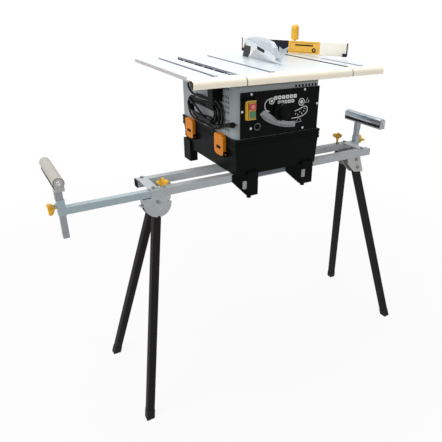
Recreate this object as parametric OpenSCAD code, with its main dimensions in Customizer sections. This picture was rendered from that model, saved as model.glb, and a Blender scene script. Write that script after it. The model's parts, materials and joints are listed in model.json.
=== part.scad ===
// Portable table saw on a folding stand with two roller supports.
// Millimetres, Z up. The sizes below are laid out from the point on the floor that is
// midway between the stand's four feet: X runs along the rails, and -Y faces the user.

/* [Rails] */
// Height of the rails' top above the floor
rail_top = 800; // [780:1:840]
// Outside size of a square rail
rail_size = 26; // [25:0.5:28]
// Wall of a rail
rail_wall = 1.6; // [1.2:0.1:2]
// Distance from one rail's centre to the other's
rail_spread = 106; // [100:1:112]
// Distance from the middle to each rail's open end
rail_open_reach = 466; // [450:1:480]
// Distance from the middle to each rail's capped end
rail_capped_reach = 473; // [460:1:490]
// Thickness of the head of a rail's end cap
rail_cap_head = 3; // [2:0.5:6]
// Width of a cross plate
cross_plate_width = 32; // [24:1:40]
// Thickness of a cross plate
cross_plate_thick = 3; // [2:0.5:5]
// Distance from the left rail end to the left cross plate's outer edge, past the end
left_plate_overhang = 4; // [0:1:8]
// Distance from the middle to the right cross plate's centre
right_plate_x = 440; // [400:1:450]

/* [Legs] */
// Outside size of a square leg
leg_size = 25; // [22:0.5:26]
// Wall of a leg
leg_wall = 1.5; // [1:0.1:2]
// Distance from the middle to a foot, along the rails
foot_x = 585; // [560:1:620]
// Distance from the middle to a foot, across the rails
foot_y = 197; // [180:1:215]
// Distance from the middle to the upper pivots, along the rails
upper_pivot_x = 446; // [430:1:455]
// Depth of the upper pivots below the rails' underside
upper_pivot_drop = 18; // [17.5:0.5:22]
// Distance from the middle to the lower pivots, along the rails
lower_pivot_x = 415; // [405:1:420]
// Depth of the lower pivots below the upper ones
lower_pivot_drop = 28; // [27.5:0.5:32]
// Radius of a pivot bolt
pivot_r = 4; // [3:0.5:5]
// Thickness of a bracket's cheeks
cheek_thick = 3; // [2:0.5:4]
// Radius of the round edge of an upper pivot's bracket
bracket_r = 46; // [42:1:48]
// Wall of a rubber foot
foot_wall = 1; // [0.8:0.1:1.4]
// Height of a foot on its leg
foot_height = 34; // [20:1:60]
// Thickness of rubber under a leg
foot_sole = 8; // [4:1:12]

/* [Arms and posts] */
// Outside size of a square arm and of its sleeve
arm_size = 22; // [20:0.5:22.5]
// Wall of an arm and of its sleeve
arm_wall = 1.6; // [1.2:0.1:2]
// Length of an arm
arm_length = 450; // [400:1:460]
// Distance from the middle to the left sleeve's centre
left_sleeve_x = 733; // [640:1:760]
// Distance from the middle to the right sleeve's centre
right_sleeve_x = 505; // [500:1:600]
// Height of a sleeve
sleeve_height = 49; // [44:1:60]
// Outside size of a square post
post_size = 18; // [16:0.5:18.6]
// Wall of a post
post_wall = 1.5; // [1:0.1:2]
// Length of a post
post_length = 158; // [140:1:200]
// How far the right post is raised
right_post_lift = 24; // [0:1:60]

/* [Rollers] */
// Radius of a roller
roller_r = 16; // [13:0.5:17]
// Length of a roller's bracket
roller_bracket_length = 210; // [180:1:240]
// Distance from the middle to a bracket's centre, towards the back
roller_bracket_y = 16; // [0:1:40]
// Width of a bracket
roller_bracket_width = 26; // [24:1:30]
// Thickness of a bracket's sheet
bracket_sheet = 2; // [1.5:0.5:3]
// Height of a bracket's side flanges
flange_height = 10; // [6:0.5:10.5]
// Height of a roller's axle above its bracket's underside
axle_height = 24.5; // [24.5:0.5:30]
// Radius of a roller's axle
axle_r = 4; // [3:0.5:5]
// Length of the stop tab that hangs from a bracket
stop_tab = 35; // [20:1:50]

/* [Clamp knobs] */
// Radius of a knob's screw
screw_r = 4; // [3:0.5:4.5]
// Radius of the circle that the three lobes stand on
lobe_circle_r = 12; // [10:0.5:14]
// Radius of a lobe
lobe_r = 9.5; // [8:0.5:10]
// Thickness of the lobes
lobe_thick = 12; // [8:0.5:14]
// Height of the dome above the lobes
knob_dome = 5; // [2:0.5:8]
// Distance from the middle to the left knob on the front rail
front_knob_x = 424; // [422:1:430]
// Distance from the middle to the right knob on the back rail
back_knob_x = 403; // [380:1:408]
// How far the back rail's knob stands above its nut
back_knob_lift = 18; // [3:1:24]

/* [Saw base] */
// Width of the base's rim
base_width = 354; // [340:1:370]
// Distance from the rails' middle to the rim's front
base_front = 92; // [90:1:94]
// Distance from the rails' middle to the rim's back
base_back = 329; // [320:1:340]
// Height of the base
base_height = 127; // [120:1:140]
// Height of the rim
rim_height = 34; // [24:1:40]
// Thickness of the rim
rim_thick = 12; // [10:0.5:14]
// Wall of the base's tray
base_wall = 4; // [3:0.5:6]
// Height of the base's front feet below the rails' top
front_foot_drop = 78; // [60:1:100]
// Height of a latch
latch_height = 68; // [60:1:69]
// Width of a latch
latch_width = 65; // [56:1:72]
// Thickness of a latch
latch_thick = 12; // [10:0.5:13]
// Distance from the rails' middle to the front latches' front edge
front_latch_y = 29; // [20:1:36]
// Distance from the rails' middle to the rear latches' front edge
rear_latch_y = 213; // [200:1:222]

/* [Cabinet] */
// How far the cabinet's sides stand in from the base's rim
cabinet_inset = 5; // [3:0.5:7]
// Distance from the rails' middle to the cabinet's front
cabinet_front = 85; // [83:1:87]
// Distance from the rails' middle to the cabinet's back
cabinet_back = 322; // [316:1:325]
// Height of the cabinet
cabinet_height = 169; // [160:1:180]
// Thickness of the cabinet's sheet
sheet = 2; // [1:0.5:3]
// Radius of the cabinet's front corners
corner_r = 25; // [10:1:30]
// Width of the flange that the table stands on
top_flange = 32; // [28:1:36]
// Length of a vent slot
vent_length = 8; // [5:0.5:9]

/* [Front panel] */
// Left edge of the panel, from the middle
panel_left = 155; // [140:1:160]
// Right edge of the panel, from the middle
panel_right = 165; // [150:1:170]
// Height of the panel
panel_height = 150; // [140:1:152]
// Thickness of the panel
panel_thick = 3; // [2:0.5:5]
// Width of the switch box
switch_width = 34; // [32:1:38]
// Height of the switch box
switch_height = 62; // [58:1:68]
// Depth of the switch box
switch_depth = 14; // [12:1:20]
// Travel of a push button
button_travel = 3; // [1:0.5:4]
// Radius of the handwheel's skirt
wheel_r = 30; // [26:1:36]
// Radius of the handwheel's grip
grip_r = 21; // [16:1:24]
// Radius of the handwheel's shaft
wheel_shaft_r = 6; // [4:0.5:8]

/* [Table] */
// Height of the table's top above the rails' top
table_rise = 334; // [330:1:340]
// Thickness of a table plate
plate_thick = 8; // [7:0.5:10]
// Left edge of the main table, from the middle
main_left = 153; // [145:1:160]
// Right edge of the main table, from the middle
main_right = 283; // [270:1:300]
// Distance from the rails' middle to the front of the plates
plate_front = 75; // [72:1:80]
// Distance from the rails' middle to the back of the plates
plate_back = 406; // [390:1:430]
// Gap between the left extension's plate and the main table
left_gap = 35; // [20:1:50]
// Gap between the right extension's plate and the main table
right_gap = 20; // [10:1:40]
// Width of the left extension's plate
left_width = 136; // [125:1:165]
// Width of the right extension's plate
right_width = 118; // [105:1:150]
// How far a side table's front rail stands past its plate
apron_overhang = 9; // [0:1:14]
// Depth of the rolled front rail, front to back
apron_depth = 49; // [40:1:60]
// Height of the rolled front rail
apron_height = 26; // [20:1:30]
// Radius of the front rail's upper edge
apron_r = 16; // [8:1:18]
// Wall of the front rail
apron_wall = 2.5; // [1.5:0.5:4]
// Width of a mitre groove
groove_width = 16; // [14:0.5:20]
// Depth of a mitre groove
groove_depth = 9.5; // [8:0.5:11]
// Radius of a guide tube
guide_r = 7; // [5:0.5:7.5]
// Distance from the rails' middle to the front guide tubes
front_guide_y = 45; // [30:1:50]
// Distance from the rails' middle to the rear guide tubes
rear_guide_y = 365; // [345:1:385]
// Travel of an extension table
extension_travel = 120; // [40:1:130]

/* [Blade and guard] */
// Distance from the middle to the blade
blade_x = 100; // [90:1:110]
// Distance from the rails' middle to the blade's axis
blade_y = 190; // [184:1:192]
// Depth of the blade's axis below the table's top
blade_depth = 78; // [76:1:84]
// Radius of the blade
blade_r = 125; // [110:1:126]
// Thickness of the blade
blade_thick = 2.8; // [2:0.1:3.2]
// Number of teeth
blade_teeth = 24; // [16:1:40]
// Radius of the arbor
arbor_r = 8; // [6:0.5:15]
// Thickness of the riving knife
knife_thick = 2.4; // [2:0.1:2.6]
// Gap between the blade's teeth and the riving knife
knife_gap = 4; // [3:0.5:6]
// Inside width of the guard
guard_inside = 15; // [10:0.5:20]
// Wall of the guard
guard_wall = 2.5; // [2:0.5:4]
// Distance from the arbor back to the guard's pin
guard_pin_back = 94; // [88:1:98]
// Height of the guard's pin above the table
guard_pin_rise = 56; // [52:1:60]
// Distance from the arbor back to the riving knife's rear edge
knife_back = 146; // [140:1:148]
// Radius of the motor
motor_r = 45; // [35:1:46]
// Length of the motor
motor_length = 120; // [90:1:140]
// Radius of a lifting rod
rod_r = 8; // [6:0.5:10]

/* [Mitre gauge] */
// Distance from the rails' middle to the gauge's pivot
gauge_y = 335; // [300:1:340]
// Length of the gauge's bar
bar_length = 250; // [200:1:280]
// Angle of the gauge's fence from square
gauge_angle = 51.5; // [0:0.5:60]
// Length of the fence board
board_length = 461; // [400:1:480]
// Thickness of the fence board
board_thick = 14; // [10:1:18]
// Height of the fence board's top above the table
board_height = 52; // [40:1:70]
// Radius of the gauge's half-round head
head_r = 70; // [50:1:80]
// Radius of the gauge's handle
handle_r = 16; // [12:0.5:20]
// Height of the handle's top above the table
handle_height = 115; // [100:1:130]

/* [Cord] */
// Diameter of the cord
cord_d = 7.5; // [7:0.5:8]
// Length of the wound hank
hank_length = 232; // [200:1:236]
// Height of the hank
hank_height = 106; // [90:1:108]
// Thickness of the hank
hank_thick = 31; // [24:1:36]

/* [Fits] */
// Gap between sliding square tubes, all round
slide_gap = 0.4; // [0.3:0.05:0.6]
// Gap between a moving piece and a flat face beside it
face_gap = 0.3; // [0.2:0.05:0.5]
// Radial gap between a shaft and its hole
shaft_gap = 0.06; // [0.02:0.01:0.1]

/* [Hidden] */
$fn = 48;
far = 2000;

steel = [0.62, 0.65, 0.66];
zinc = [0.80, 0.84, 0.86];
leg_black = [0.13, 0.12, 0.12];
plastic_black = [0.06, 0.07, 0.07];
knob_yellow = [0.90, 0.68, 0.12];
latch_orange = [0.84, 0.51, 0.18];
sheet_grey = [0.55, 0.58, 0.60];
cream = [0.93, 0.91, 0.82];
table_white = [0.86, 0.90, 0.92];
hardware = [0.75, 0.76, 0.77];
clear_guard = [0.85, 0.88, 0.92];

// Rails
rail_y = rail_spread / 2;
rail_bottom = rail_top - rail_size;
rail_z = rail_top - rail_size / 2;
rail_inside = rail_size - 2 * rail_wall;
rail_outer_y = rail_y + rail_size / 2;
nut_height = 6;
nut_r = 8;
knob_clear = 2;
hub_r = 7;
hub_step = 1;
bolt_head_r = 6;
bolt_head = 4;

// Legs
upper_pivot_z = rail_bottom - upper_pivot_drop;
lower_pivot_z = upper_pivot_z - lower_pivot_drop;
foot_out_y = foot_y - rail_y;
upper_splay = atan(foot_out_y / upper_pivot_z);
lower_splay = atan(foot_out_y / lower_pivot_z);
cheek_gap = 0.6;
cheek_in = leg_size / 2 + cheek_gap;
cheek_out = cheek_in + cheek_thick;
web_clear = 0.7;
upper_bracket_back = 2;
stiffener_drop = 8;

// Arms and posts
arm_z = rail_z;
sleeve_bottom = rail_bottom;
sleeve_top = sleeve_bottom + sleeve_height;
sleeve_knob_z = sleeve_bottom + 30;
post_inside = arm_size - 2 * arm_wall;
bracket_z = sleeve_top + stop_tab;
roller_play = 1;

// Saw base
base_top = rail_top + base_height;
base_half = base_width / 2;
rim_bottom = base_top - rim_height;
wall_inset = 3;
foot_taper = 6;
latch_gap = face_gap;
latch_bottom = base_top - 70;
latch_pin_z = latch_bottom + 8;
latch_pin_x = base_half + latch_gap + latch_thick / 2;
latch_pin_r = 2.5;
ear_thick = 5;

// Cabinet and panel
cabinet_half = base_half - cabinet_inset;
cabinet_bottom = base_top;
cabinet_top = cabinet_bottom + cabinet_height;
panel_bottom = cabinet_bottom + 2;
panel_front = cabinet_front + panel_thick;
panel_screw_spots = [[-149, 92], [-115, 145], [-116, 34], [158, 92], [100, 145], [100, 12]];
switch_x = -138;
switch_bottom = cabinet_bottom + 66;
switch_floor = 3;
button_depth = switch_depth - switch_floor;
button_gap = 0.4;
lid_bar_r = 4;
reset_x = -92;
reset_z = cabinet_bottom + 38;
reset_r = 9;
wheel_x = 0;
wheel_z = cabinet_bottom + 79;
wheel_reach = 35;

// Table
table_top = rail_top + table_rise;
plate_bottom = table_top - plate_thick;
groove_floor = table_top - groove_depth;
groove_wall = 4;
channel_bottom = groove_floor - groove_wall - 2.5;
apron_front = plate_front + apron_depth;
main_groove_x = -32;
left_groove_x = -240;
right_groove_x = 357;
left_edge = -main_left - left_gap - left_width;
right_edge = main_right + right_gap + right_width;
rib_bottom = cabinet_top;
guide_z = rib_bottom + 11;
boss_length = 90;
guide_inner_reach = extension_travel + 70;
skirt = 2;
lip = 3;
tube_start = 12;
insert_half = 30;
insert_front = 40;
insert_back = 349;
insert_thick = 3;
insert_gap = 0.2;
ledge = 8;
blade_slot = 6;
blade_z = table_top - blade_depth;

// Blade and guard
blade_travel = 55;
knife_r = blade_r + knife_gap;
knife_foot_z = table_top - 34;
knife_foot_back = blade_y + knife_back;
guard_pin_y = blade_y + guard_pin_back;
guard_pin_z = table_top + guard_pin_rise;
guard_pin_r = 3;
guard_outside = guard_inside + 2 * guard_wall;
rod_x_place = 40;
rod_spacing = 130;
ear_half = 16;
rod_spare = 25;
rod_bottom = blade_z - ear_half - blade_travel - rod_spare;

// Mitre gauge
bar_back = gauge_y + 60;
bar_side_gap = 0.3;
pivot_pin_r = 4;
head_thick = 7;
board_front = 25;
board_back_face = board_front - board_thick;
board_left = board_length / 2 - 0.7;
upstand_thick = 5;
head_z = table_top + face_gap;

// Cord
hank_back = 214;
hank_gap = 4;
hank_inner_x = -cabinet_half - hank_gap;
strap_y = [0, 36];
hank_bottom = base_top + 10;
hank_r = hank_height / 2;
hank_mid_z = hank_bottom + hank_r;
hank_front = hank_back - hank_length;
gland_y = 222;
gland_z = cabinet_top - 28;
lead_points = [[-182, 222, 1068], [-188, 222, 1068], [-194, 220, 1067], [-198, 216, 1065],
    [-201, 210, 1061], [-202, 204, 1056], [-202, 198, 1050], [-200, 192, 1044],
    [-197, 187, 1038], [-194, 182, 1034]];
lead_sides = 10;
plug_x = -190;
plug_z = 961;
plug_tail_y = -8;
plug_r = 7;
plug_tilt = 14;

// The part's own origin: midway between its farthest sides, on the floor.
knob_reach = nut_height + knob_clear + lobe_thick + knob_dome;
leftmost = -left_sleeve_x - arm_size / 2 - knob_reach;
rightmost = foot_x + leg_size / 2 + foot_wall;
frontmost = -foot_y - leg_size / 2 - foot_wall;
backmost = gauge_y + board_left * sin(gauge_angle) - board_back_face * cos(gauge_angle);
centre_x = (leftmost + rightmost) / 2;
centre_y = (frontmost + backmost) / 2;

// ---- Shared shapes ----

module in_part_frame() {
    translate([-centre_x, -centre_y, 0]) children();
}

// The stand looks the same after half a turn, so each back piece is a turned front one.
module turned() {
    rotate([0, 0, 180]) children();
}

module block(x, y, z) {
    translate([x[0], y[0], z[0]]) cube([x[1] - x[0], y[1] - y[0], z[1] - z[0]]);
}

module rod_x(x, y, z, r) {
    translate([x[0], y, z]) rotate([0, 90, 0]) cylinder(r = r, h = x[1] - x[0]);
}

module rod_y(x, y, z, r) {
    translate([x, y[0], z]) rotate([-90, 0, 0]) cylinder(r = r, h = y[1] - y[0]);
}

module rod_z(x, y, z, r) {
    translate([x, y, z[0]]) cylinder(r = r, h = z[1] - z[0]);
}

// A square tube along X, centred on y and z.
module tube_x(x, y, z, size, wall) {
    difference() {
        block(x, [y - size / 2, y + size / 2], [z - size / 2, z + size / 2]);
        block([x[0] - 1, x[1] + 1], [y - size / 2 + wall, y + size / 2 - wall],
            [z - size / 2 + wall, z + size / 2 - wall]);
    }
}

// A square tube along Z, centred on x and y.
module tube_z(x, y, z, size, wall) {
    difference() {
        block([x - size / 2, x + size / 2], [y - size / 2, y + size / 2], z);
        block([x - size / 2 + wall, x + size / 2 - wall], [y - size / 2 + wall, y + size / 2 - wall],
            [z[0] - 1, z[1] + 1]);
    }
}

// A flat shape drawn in Y and Z, made solid from x[0] to x[1].
module slab_x(x) {
    translate([x[0], 0, 0]) rotate([90, 0, 90]) linear_extrude(x[1] - x[0]) children();
}

// A flat shape drawn in X and Z, made solid from y[0] to y[1].
module slab_y(y) {
    translate([0, y[1], 0]) rotate([90, 0, 0]) linear_extrude(y[1] - y[0]) children();
}

// Points along a circle of radius r about c, from angle a to angle b.
function arc(c, r, a, b, steps = 8) =
    [for (i = [0 : steps]) let (t = a + (b - a) * i / steps) [c[0] + r * cos(t), c[1] + r * sin(t)]];

// ---- Rails ----

module rail(knob_x) {
    difference() {
        union() {
            tube_x([-rail_open_reach, rail_capped_reach], -rail_y, rail_z, rail_size, rail_wall);
            translate([-knob_x, -rail_y, rail_top]) cylinder(r = nut_r, h = nut_height, $fn = 6);
        }
        rod_z(-knob_x, -rail_y, [rail_z, rail_top + nut_height + 1], screw_r + shaft_gap);
    }
}

module front_rail() {
    color(steel) in_part_frame() rail(front_knob_x);
}

module back_rail() {
    color(steel) in_part_frame() turned() rail(back_knob_x);
}

module rail_cap() {
    plug_half = rail_inside / 2;
    plug_depth = 12;
    block([rail_capped_reach, rail_capped_reach + rail_cap_head],
        [-rail_outer_y, -rail_outer_y + rail_size], [rail_bottom, rail_top]);
    block([rail_capped_reach - plug_depth, rail_capped_reach],
        [-rail_y - plug_half, -rail_y + plug_half], [rail_z - plug_half, rail_z + plug_half]);
}

module rail_end_caps() {
    color(plastic_black) in_part_frame() {
        rail_cap();
        turned() rail_cap();
    }
}

left_plate_mid = -rail_open_reach - left_plate_overhang + cross_plate_width / 2;
plate_reach = rail_y + 4;
bolt_spots = [for (x = [left_plate_mid, right_plate_x], y = [-rail_y, rail_y]) [x, y]];

module cross_plate(x) {
    half = cross_plate_width / 2;
    block([x - half, x + half], [-plate_reach, plate_reach],
        [rail_top, rail_top + cross_plate_thick]);
}

module cross_plates() {
    color(steel) in_part_frame() {
        cross_plate(left_plate_mid);
        cross_plate(right_plate_x);
    }
}

// ---- Leg brackets ----

// Puts a leg's own frame, whose Y is the hinge axis, at a front pivot.
module at_pivot(x, z, splay) {
    translate([x, -rail_y, z]) rotate([-splay, 0, 0]) children();
}

module at_upper_pivot() {
    at_pivot(-upper_pivot_x, upper_pivot_z, upper_splay) children();
}

module at_lower_pivot() {
    at_pivot(lower_pivot_x, lower_pivot_z, lower_splay) children();
}

module above_rail_bottom() {
    block([-far, far], [-far, far], [rail_bottom, rail_bottom + far]);
}

module both_cheeks() {
    slab_y([-cheek_out, -cheek_in]) children();
    slab_y([cheek_in, cheek_out]) children();
}

notch_r = 4.5;
stop_lip = 8;
upper_left = -bracket_r - upper_bracket_back;
upper_right = bracket_r - upper_bracket_back;

module upper_cheek_shape() {
    difference() {
        union() {
            translate([-upper_bracket_back, -4]) circle(r = bracket_r);
            translate([upper_left, -stiffener_drop]) square([2 * bracket_r, 40]);
        }
        circle(r = pivot_r + shaft_gap);
        translate([-5, -bracket_r - 4]) circle(r = notch_r);
        translate([upper_right, 0]) circle(r = notch_r);
    }
}

// Half-round cheeks joined by a web that is welded to the rail's underside, with a lip at the left.
module upper_bracket(tab) {
    difference() {
        at_upper_pivot() {
            both_cheeks() upper_cheek_shape();
            block([upper_left, upper_right], [-cheek_in, cheek_in],
                [leg_size / 2 + web_clear, 40 - stiffener_drop]);
            block([upper_left, upper_left + cheek_thick], [-cheek_in, cheek_in],
                [-stiffener_drop, leg_size]);
            block([upper_left - tab, upper_left + 1], [-cheek_out, cheek_out],
                [-stiffener_drop, cheek_thick - stiffener_drop]);
        }
        above_rail_bottom();
    }
}

lower_shape = [[-53, 60], [12, 60], [28, -22], [-20, -16], [-50, 20]];
lock_bolt_rise = 32;

module lower_cheek_shape() {
    difference() {
        polygon(lower_shape);
        circle(r = pivot_r + shaft_gap);
        translate([-5, lock_bolt_rise]) circle(r = pivot_r);
    }
}

// Angled cheeks under a top plate that is welded to the rail's underside.
module lower_bracket() {
    rise = rail_bottom - lower_pivot_z;
    middle = -rail_y + rise * tan(lower_splay);
    half = cheek_out / cos(lower_splay) + 0.5;
    difference() {
        union() {
            at_lower_pivot() both_cheeks() lower_cheek_shape();
            block([lower_pivot_x + lower_shape[0][0], lower_pivot_x + lower_shape[1][0]],
                [middle - half, middle + half], [rail_bottom - cheek_thick, rail_bottom]);
        }
        above_rail_bottom();
    }
}

module front_left_bracket() {
    color(zinc) in_part_frame() upper_bracket(stop_lip);
}

module back_right_bracket() {
    color(zinc) in_part_frame() turned() upper_bracket(0);
}

module front_right_bracket() {
    color(zinc) in_part_frame() lower_bracket();
}

module back_left_bracket() {
    color(zinc) in_part_frame() turned() lower_bracket();
}

// A bolt along a leg frame's Y with a hexagon head and nut outside the cheeks.
module cross_bolt(x, z) {
    rod_y(x, [-cheek_out - 1, cheek_out + 1], z, pivot_r);
    for (side = [-1, 1]) {
        translate([x, side * cheek_out, z]) rotate([-90 * side, 0, 0])
            cylinder(r = bolt_head_r + 1, h = bolt_head, $fn = 6);
    }
}

module stand_bolts() {
    color(hardware) in_part_frame() {
        for (half_turn = [0, 180]) rotate([0, 0, half_turn]) {
            at_upper_pivot() cross_bolt(0, 0);
            at_lower_pivot() cross_bolt(0, 0);
            at_lower_pivot() cross_bolt(-5, lock_bolt_rise);
        }
        for (spot = bolt_spots) translate([spot[0], spot[1], rail_top + cross_plate_thick])
            cylinder(r = bolt_head_r, h = bolt_head, $fn = 6);
    }
}

// ---- Legs ----

// Length of a leg and its lean along the rails, in its own frame.
function leg_drop(z) = norm([foot_out_y, z]);
function leg_lean(x, z) = atan((foot_x - x) / leg_drop(z));
function leg_length(x, z) = norm([foot_x - x, leg_drop(z)]);

module leg_bar(half, length, top) {
    block([-half, half], [-half, half], [-length, top]);
}

// A leg in its own frame: lean is positive towards -X.
module leg_tube(length, lean) {
    half = leg_size / 2;
    rotate([0, lean, 0]) difference() {
        union() {
            leg_bar(half, length + leg_size, 0);
            rod_y(0, [-half, half], 0, half);
        }
        leg_bar(half - leg_wall, length + leg_size + 1, -leg_size);
        rod_y(0, [-half - 1, half + 1], 0, pivot_r + shaft_gap);
    }
}

module below(z) {
    block([-far, far], [-far, far], [-far, z]);
}

module upper_leg() {
    length = leg_length(upper_pivot_x, upper_pivot_z);
    difference() {
        at_upper_pivot() leg_tube(length, leg_lean(upper_pivot_x, upper_pivot_z));
        below(foot_sole);
    }
}

module lower_leg() {
    length = leg_length(lower_pivot_x, lower_pivot_z);
    difference() {
        at_lower_pivot() leg_tube(length, -leg_lean(lower_pivot_x, lower_pivot_z));
        below(foot_sole);
    }
}

module foot_cap(length, lean) {
    rotate([0, lean, 0]) leg_bar(leg_size / 2 + foot_wall, length + leg_size, -length + foot_height);
}

module foot_socket(length, lean) {
    rotate([0, lean, 0]) leg_bar(leg_size / 2, length + leg_size, 0);
}

module upper_foot() {
    length = leg_length(upper_pivot_x, upper_pivot_z);
    lean = leg_lean(upper_pivot_x, upper_pivot_z);
    difference() {
        at_upper_pivot() foot_cap(length, lean);
        below(0);
        difference() {
            at_upper_pivot() foot_socket(length, lean);
            below(foot_sole);
        }
    }
}

module lower_foot() {
    length = leg_length(lower_pivot_x, lower_pivot_z);
    lean = -leg_lean(lower_pivot_x, lower_pivot_z);
    difference() {
        at_lower_pivot() foot_cap(length, lean);
        below(0);
        difference() {
            at_lower_pivot() foot_socket(length, lean);
            below(foot_sole);
        }
    }
}

module front_left_leg() {
    color(leg_black) in_part_frame() upper_leg();
}

module back_right_leg() {
    color(leg_black) in_part_frame() turned() upper_leg();
}

module front_right_leg() {
    color(leg_black) in_part_frame() lower_leg();
}

module back_left_leg() {
    color(leg_black) in_part_frame() turned() lower_leg();
}

module front_left_foot() {
    color(plastic_black) in_part_frame() upper_foot();
}

module back_right_foot() {
    color(plastic_black) in_part_frame() turned() upper_foot();
}

module front_right_foot() {
    color(plastic_black) in_part_frame() lower_foot();
}

module back_left_foot() {
    color(plastic_black) in_part_frame() turned() lower_foot();
}

// ---- Arms, posts and rollers ----

// A clamp knob along +Z from the end of its screw, with lobes that start at height z.
module clamp_knob(z) {
    cylinder(r = screw_r, h = z + 1);
    translate([0, 0, z]) cylinder(r = hub_r, h = lobe_thick + knob_dome);
    for (i = [0 : 2]) rotate([0, 0, 120 * i]) translate([lobe_circle_r, 0, z + hub_step])
        cylinder(r = lobe_r, h = lobe_thick - hub_step);
}

// Turns +Z to the side that an arm's knob faces, about a sleeve's axis.
module at_sleeve_knob(x, turn) {
    translate([x, -rail_y, sleeve_knob_z]) rotate([0, 0, turn]) translate([arm_size / 2, 0, 0])
        rotate([0, 90, 0]) children();
}

// An arm that slides in the front rail's open end, with its sleeve at -x.
module arm(x, knob_turn) {
    face = -x + arm_size / 2;
    difference() {
        union() {
            tube_x([face, face + arm_length], -rail_y, arm_z, arm_size, arm_wall);
            tube_z(-x, -rail_y, [sleeve_bottom, sleeve_top], arm_size, arm_wall);
            at_sleeve_knob(-x, knob_turn) cylinder(r = nut_r, h = nut_height, $fn = 6);
        }
        block([-x - post_inside / 2, -x + post_inside / 2],
            [-rail_y - post_inside / 2, -rail_y + post_inside / 2], [0, far]);
        at_sleeve_knob(-x, knob_turn) translate([0, 0, -arm_size / 2])
            cylinder(r = screw_r + shaft_gap, h = arm_size / 2 + nut_height + 1);
    }
}

module post(x, lift) {
    top = bracket_z + lift;
    tube_z(-x, -rail_y, [top - post_length, top], post_size, post_wall);
}

// A channel along Y from y[0] to y[1] on top of the post at -x.
module roller_bracket(x, lift, y) {
    z = bracket_z + lift;
    half = roller_bracket_width / 2;
    difference() {
        union() {
            block([-x - half, -x + half], y, [z, z + bracket_sheet]);
            for (side = [-1, 1]) block([-x + side * half - (side > 0 ? bracket_sheet : 0),
                -x + side * half + (side > 0 ? 0 : bracket_sheet)], y, [z, z + flange_height]);
            for (end = [y[0], y[1] - bracket_sheet]) {
                block([-x - half, -x + half], [end, end + bracket_sheet], [z, z + axle_height]);
                rod_y(-x, [end, end + bracket_sheet], z + axle_height, half);
            }
            block([-x - half, -x - post_size / 2], [-rail_y - 8, -rail_y + 8],
                [z - stop_tab + face_gap, z]);
        }
        rod_y(-x, [y[0] - 1, y[1] + 1], z + axle_height, axle_r + shaft_gap);
    }
    rod_y(-x, [y[0] - 2, y[1] + 2], z + axle_height, axle_r);
    for (end = [[y[0] - 2 - bolt_head, y[0] - 0.1], [y[1] + 0.1, y[1] + 2 + bolt_head]])
        rod_y(-x, end, z + axle_height, axle_r + 3);
}

module roller(x, lift, y) {
    z = bracket_z + lift + axle_height;
    recess = 3;
    ends = [y[0] + bracket_sheet + roller_play, y[1] - bracket_sheet - roller_play];
    difference() {
        rod_y(-x, ends, z, roller_r);
        rod_y(-x, [ends[0] - 1, ends[1] + 1], z, axle_r + shaft_gap);
        rod_y(-x, [ends[0] - 1, ends[0] + recess], z, roller_r - 2.5);
        rod_y(-x, [ends[1] - recess, ends[1] + 1], z, roller_r - 2.5);
    }
    for (end = [ends[0] + 0.2 - roller_play, ends[1] - recess - 0.2])
        difference() {
            rod_y(-x, [end, end + recess + roller_play], z, axle_r + 3);
            rod_y(-x, [end - 1, end + 2 * recess], z, axle_r + shaft_gap);
        }
}

half_bracket = roller_bracket_length / 2;
left_roller_y = [roller_bracket_y - half_bracket, roller_bracket_y + half_bracket];
right_roller_y = [-roller_bracket_y - half_bracket, -roller_bracket_y + half_bracket];
left_knob_turn = 180;
right_knob_turn = 180;

module left_arm() {
    color(zinc) in_part_frame() arm(left_sleeve_x, left_knob_turn);
}

module right_arm() {
    color(zinc) in_part_frame() turned() arm(right_sleeve_x, right_knob_turn);
}

module left_post() {
    color(zinc) in_part_frame() post(left_sleeve_x, 0);
}

module right_post() {
    color(zinc) in_part_frame() turned() post(right_sleeve_x, right_post_lift);
}

module left_roller_bracket() {
    color(steel) in_part_frame() roller_bracket(left_sleeve_x, 0, left_roller_y);
}

module right_roller_bracket() {
    color(steel) in_part_frame() turned()
        roller_bracket(right_sleeve_x, right_post_lift, right_roller_y);
}

module left_roller() {
    color(hardware) in_part_frame() roller(left_sleeve_x, 0, left_roller_y);
}

module right_roller() {
    color(hardware) in_part_frame() turned() roller(right_sleeve_x, right_post_lift, right_roller_y);
}

// A rail knob's screw stops just above the arm inside the rail.
screw_start = rail_wall + (rail_inside - arm_size) / 2 - face_gap;

module rail_knob(knob_x, lift) {
    translate([-knob_x, -rail_y, rail_top - screw_start])
        clamp_knob(screw_start + nut_height + knob_clear + lift);
}

module front_rail_knob() {
    color(knob_yellow) in_part_frame() rail_knob(front_knob_x, 0);
}

module back_rail_knob() {
    color(knob_yellow) in_part_frame() turned() rail_knob(back_knob_x, back_knob_lift);
}

// A post knob's screw stops just outside the post inside the sleeve.
post_screw_start = (arm_size - post_size) / 2 - face_gap;

module post_knob(x, turn) {
    at_sleeve_knob(-x, turn) translate([0, 0, -post_screw_start])
        clamp_knob(post_screw_start + nut_height + knob_clear);
}

module left_post_knob() {
    color(knob_yellow) in_part_frame() post_knob(left_sleeve_x, left_knob_turn);
}

module right_post_knob() {
    color(knob_yellow) in_part_frame() turned() post_knob(right_sleeve_x, right_knob_turn);
}

// ---- Saw base ----

// A tapered box from the rails up to the rim; inset makes the inside.
module tray_solid(inset, bottom) {
    top_half = base_half - wall_inset - inset;
    hull() {
        block([-top_half + foot_taper, top_half - foot_taper],
            [-base_front + foot_taper + inset, base_back - 22 - inset], [bottom, bottom + 1]);
        block([-top_half, top_half], [-base_front + wall_inset + 1 + inset, base_back - wall_inset - inset],
            [rim_bottom, rim_bottom + 1]);
    }
}

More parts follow.
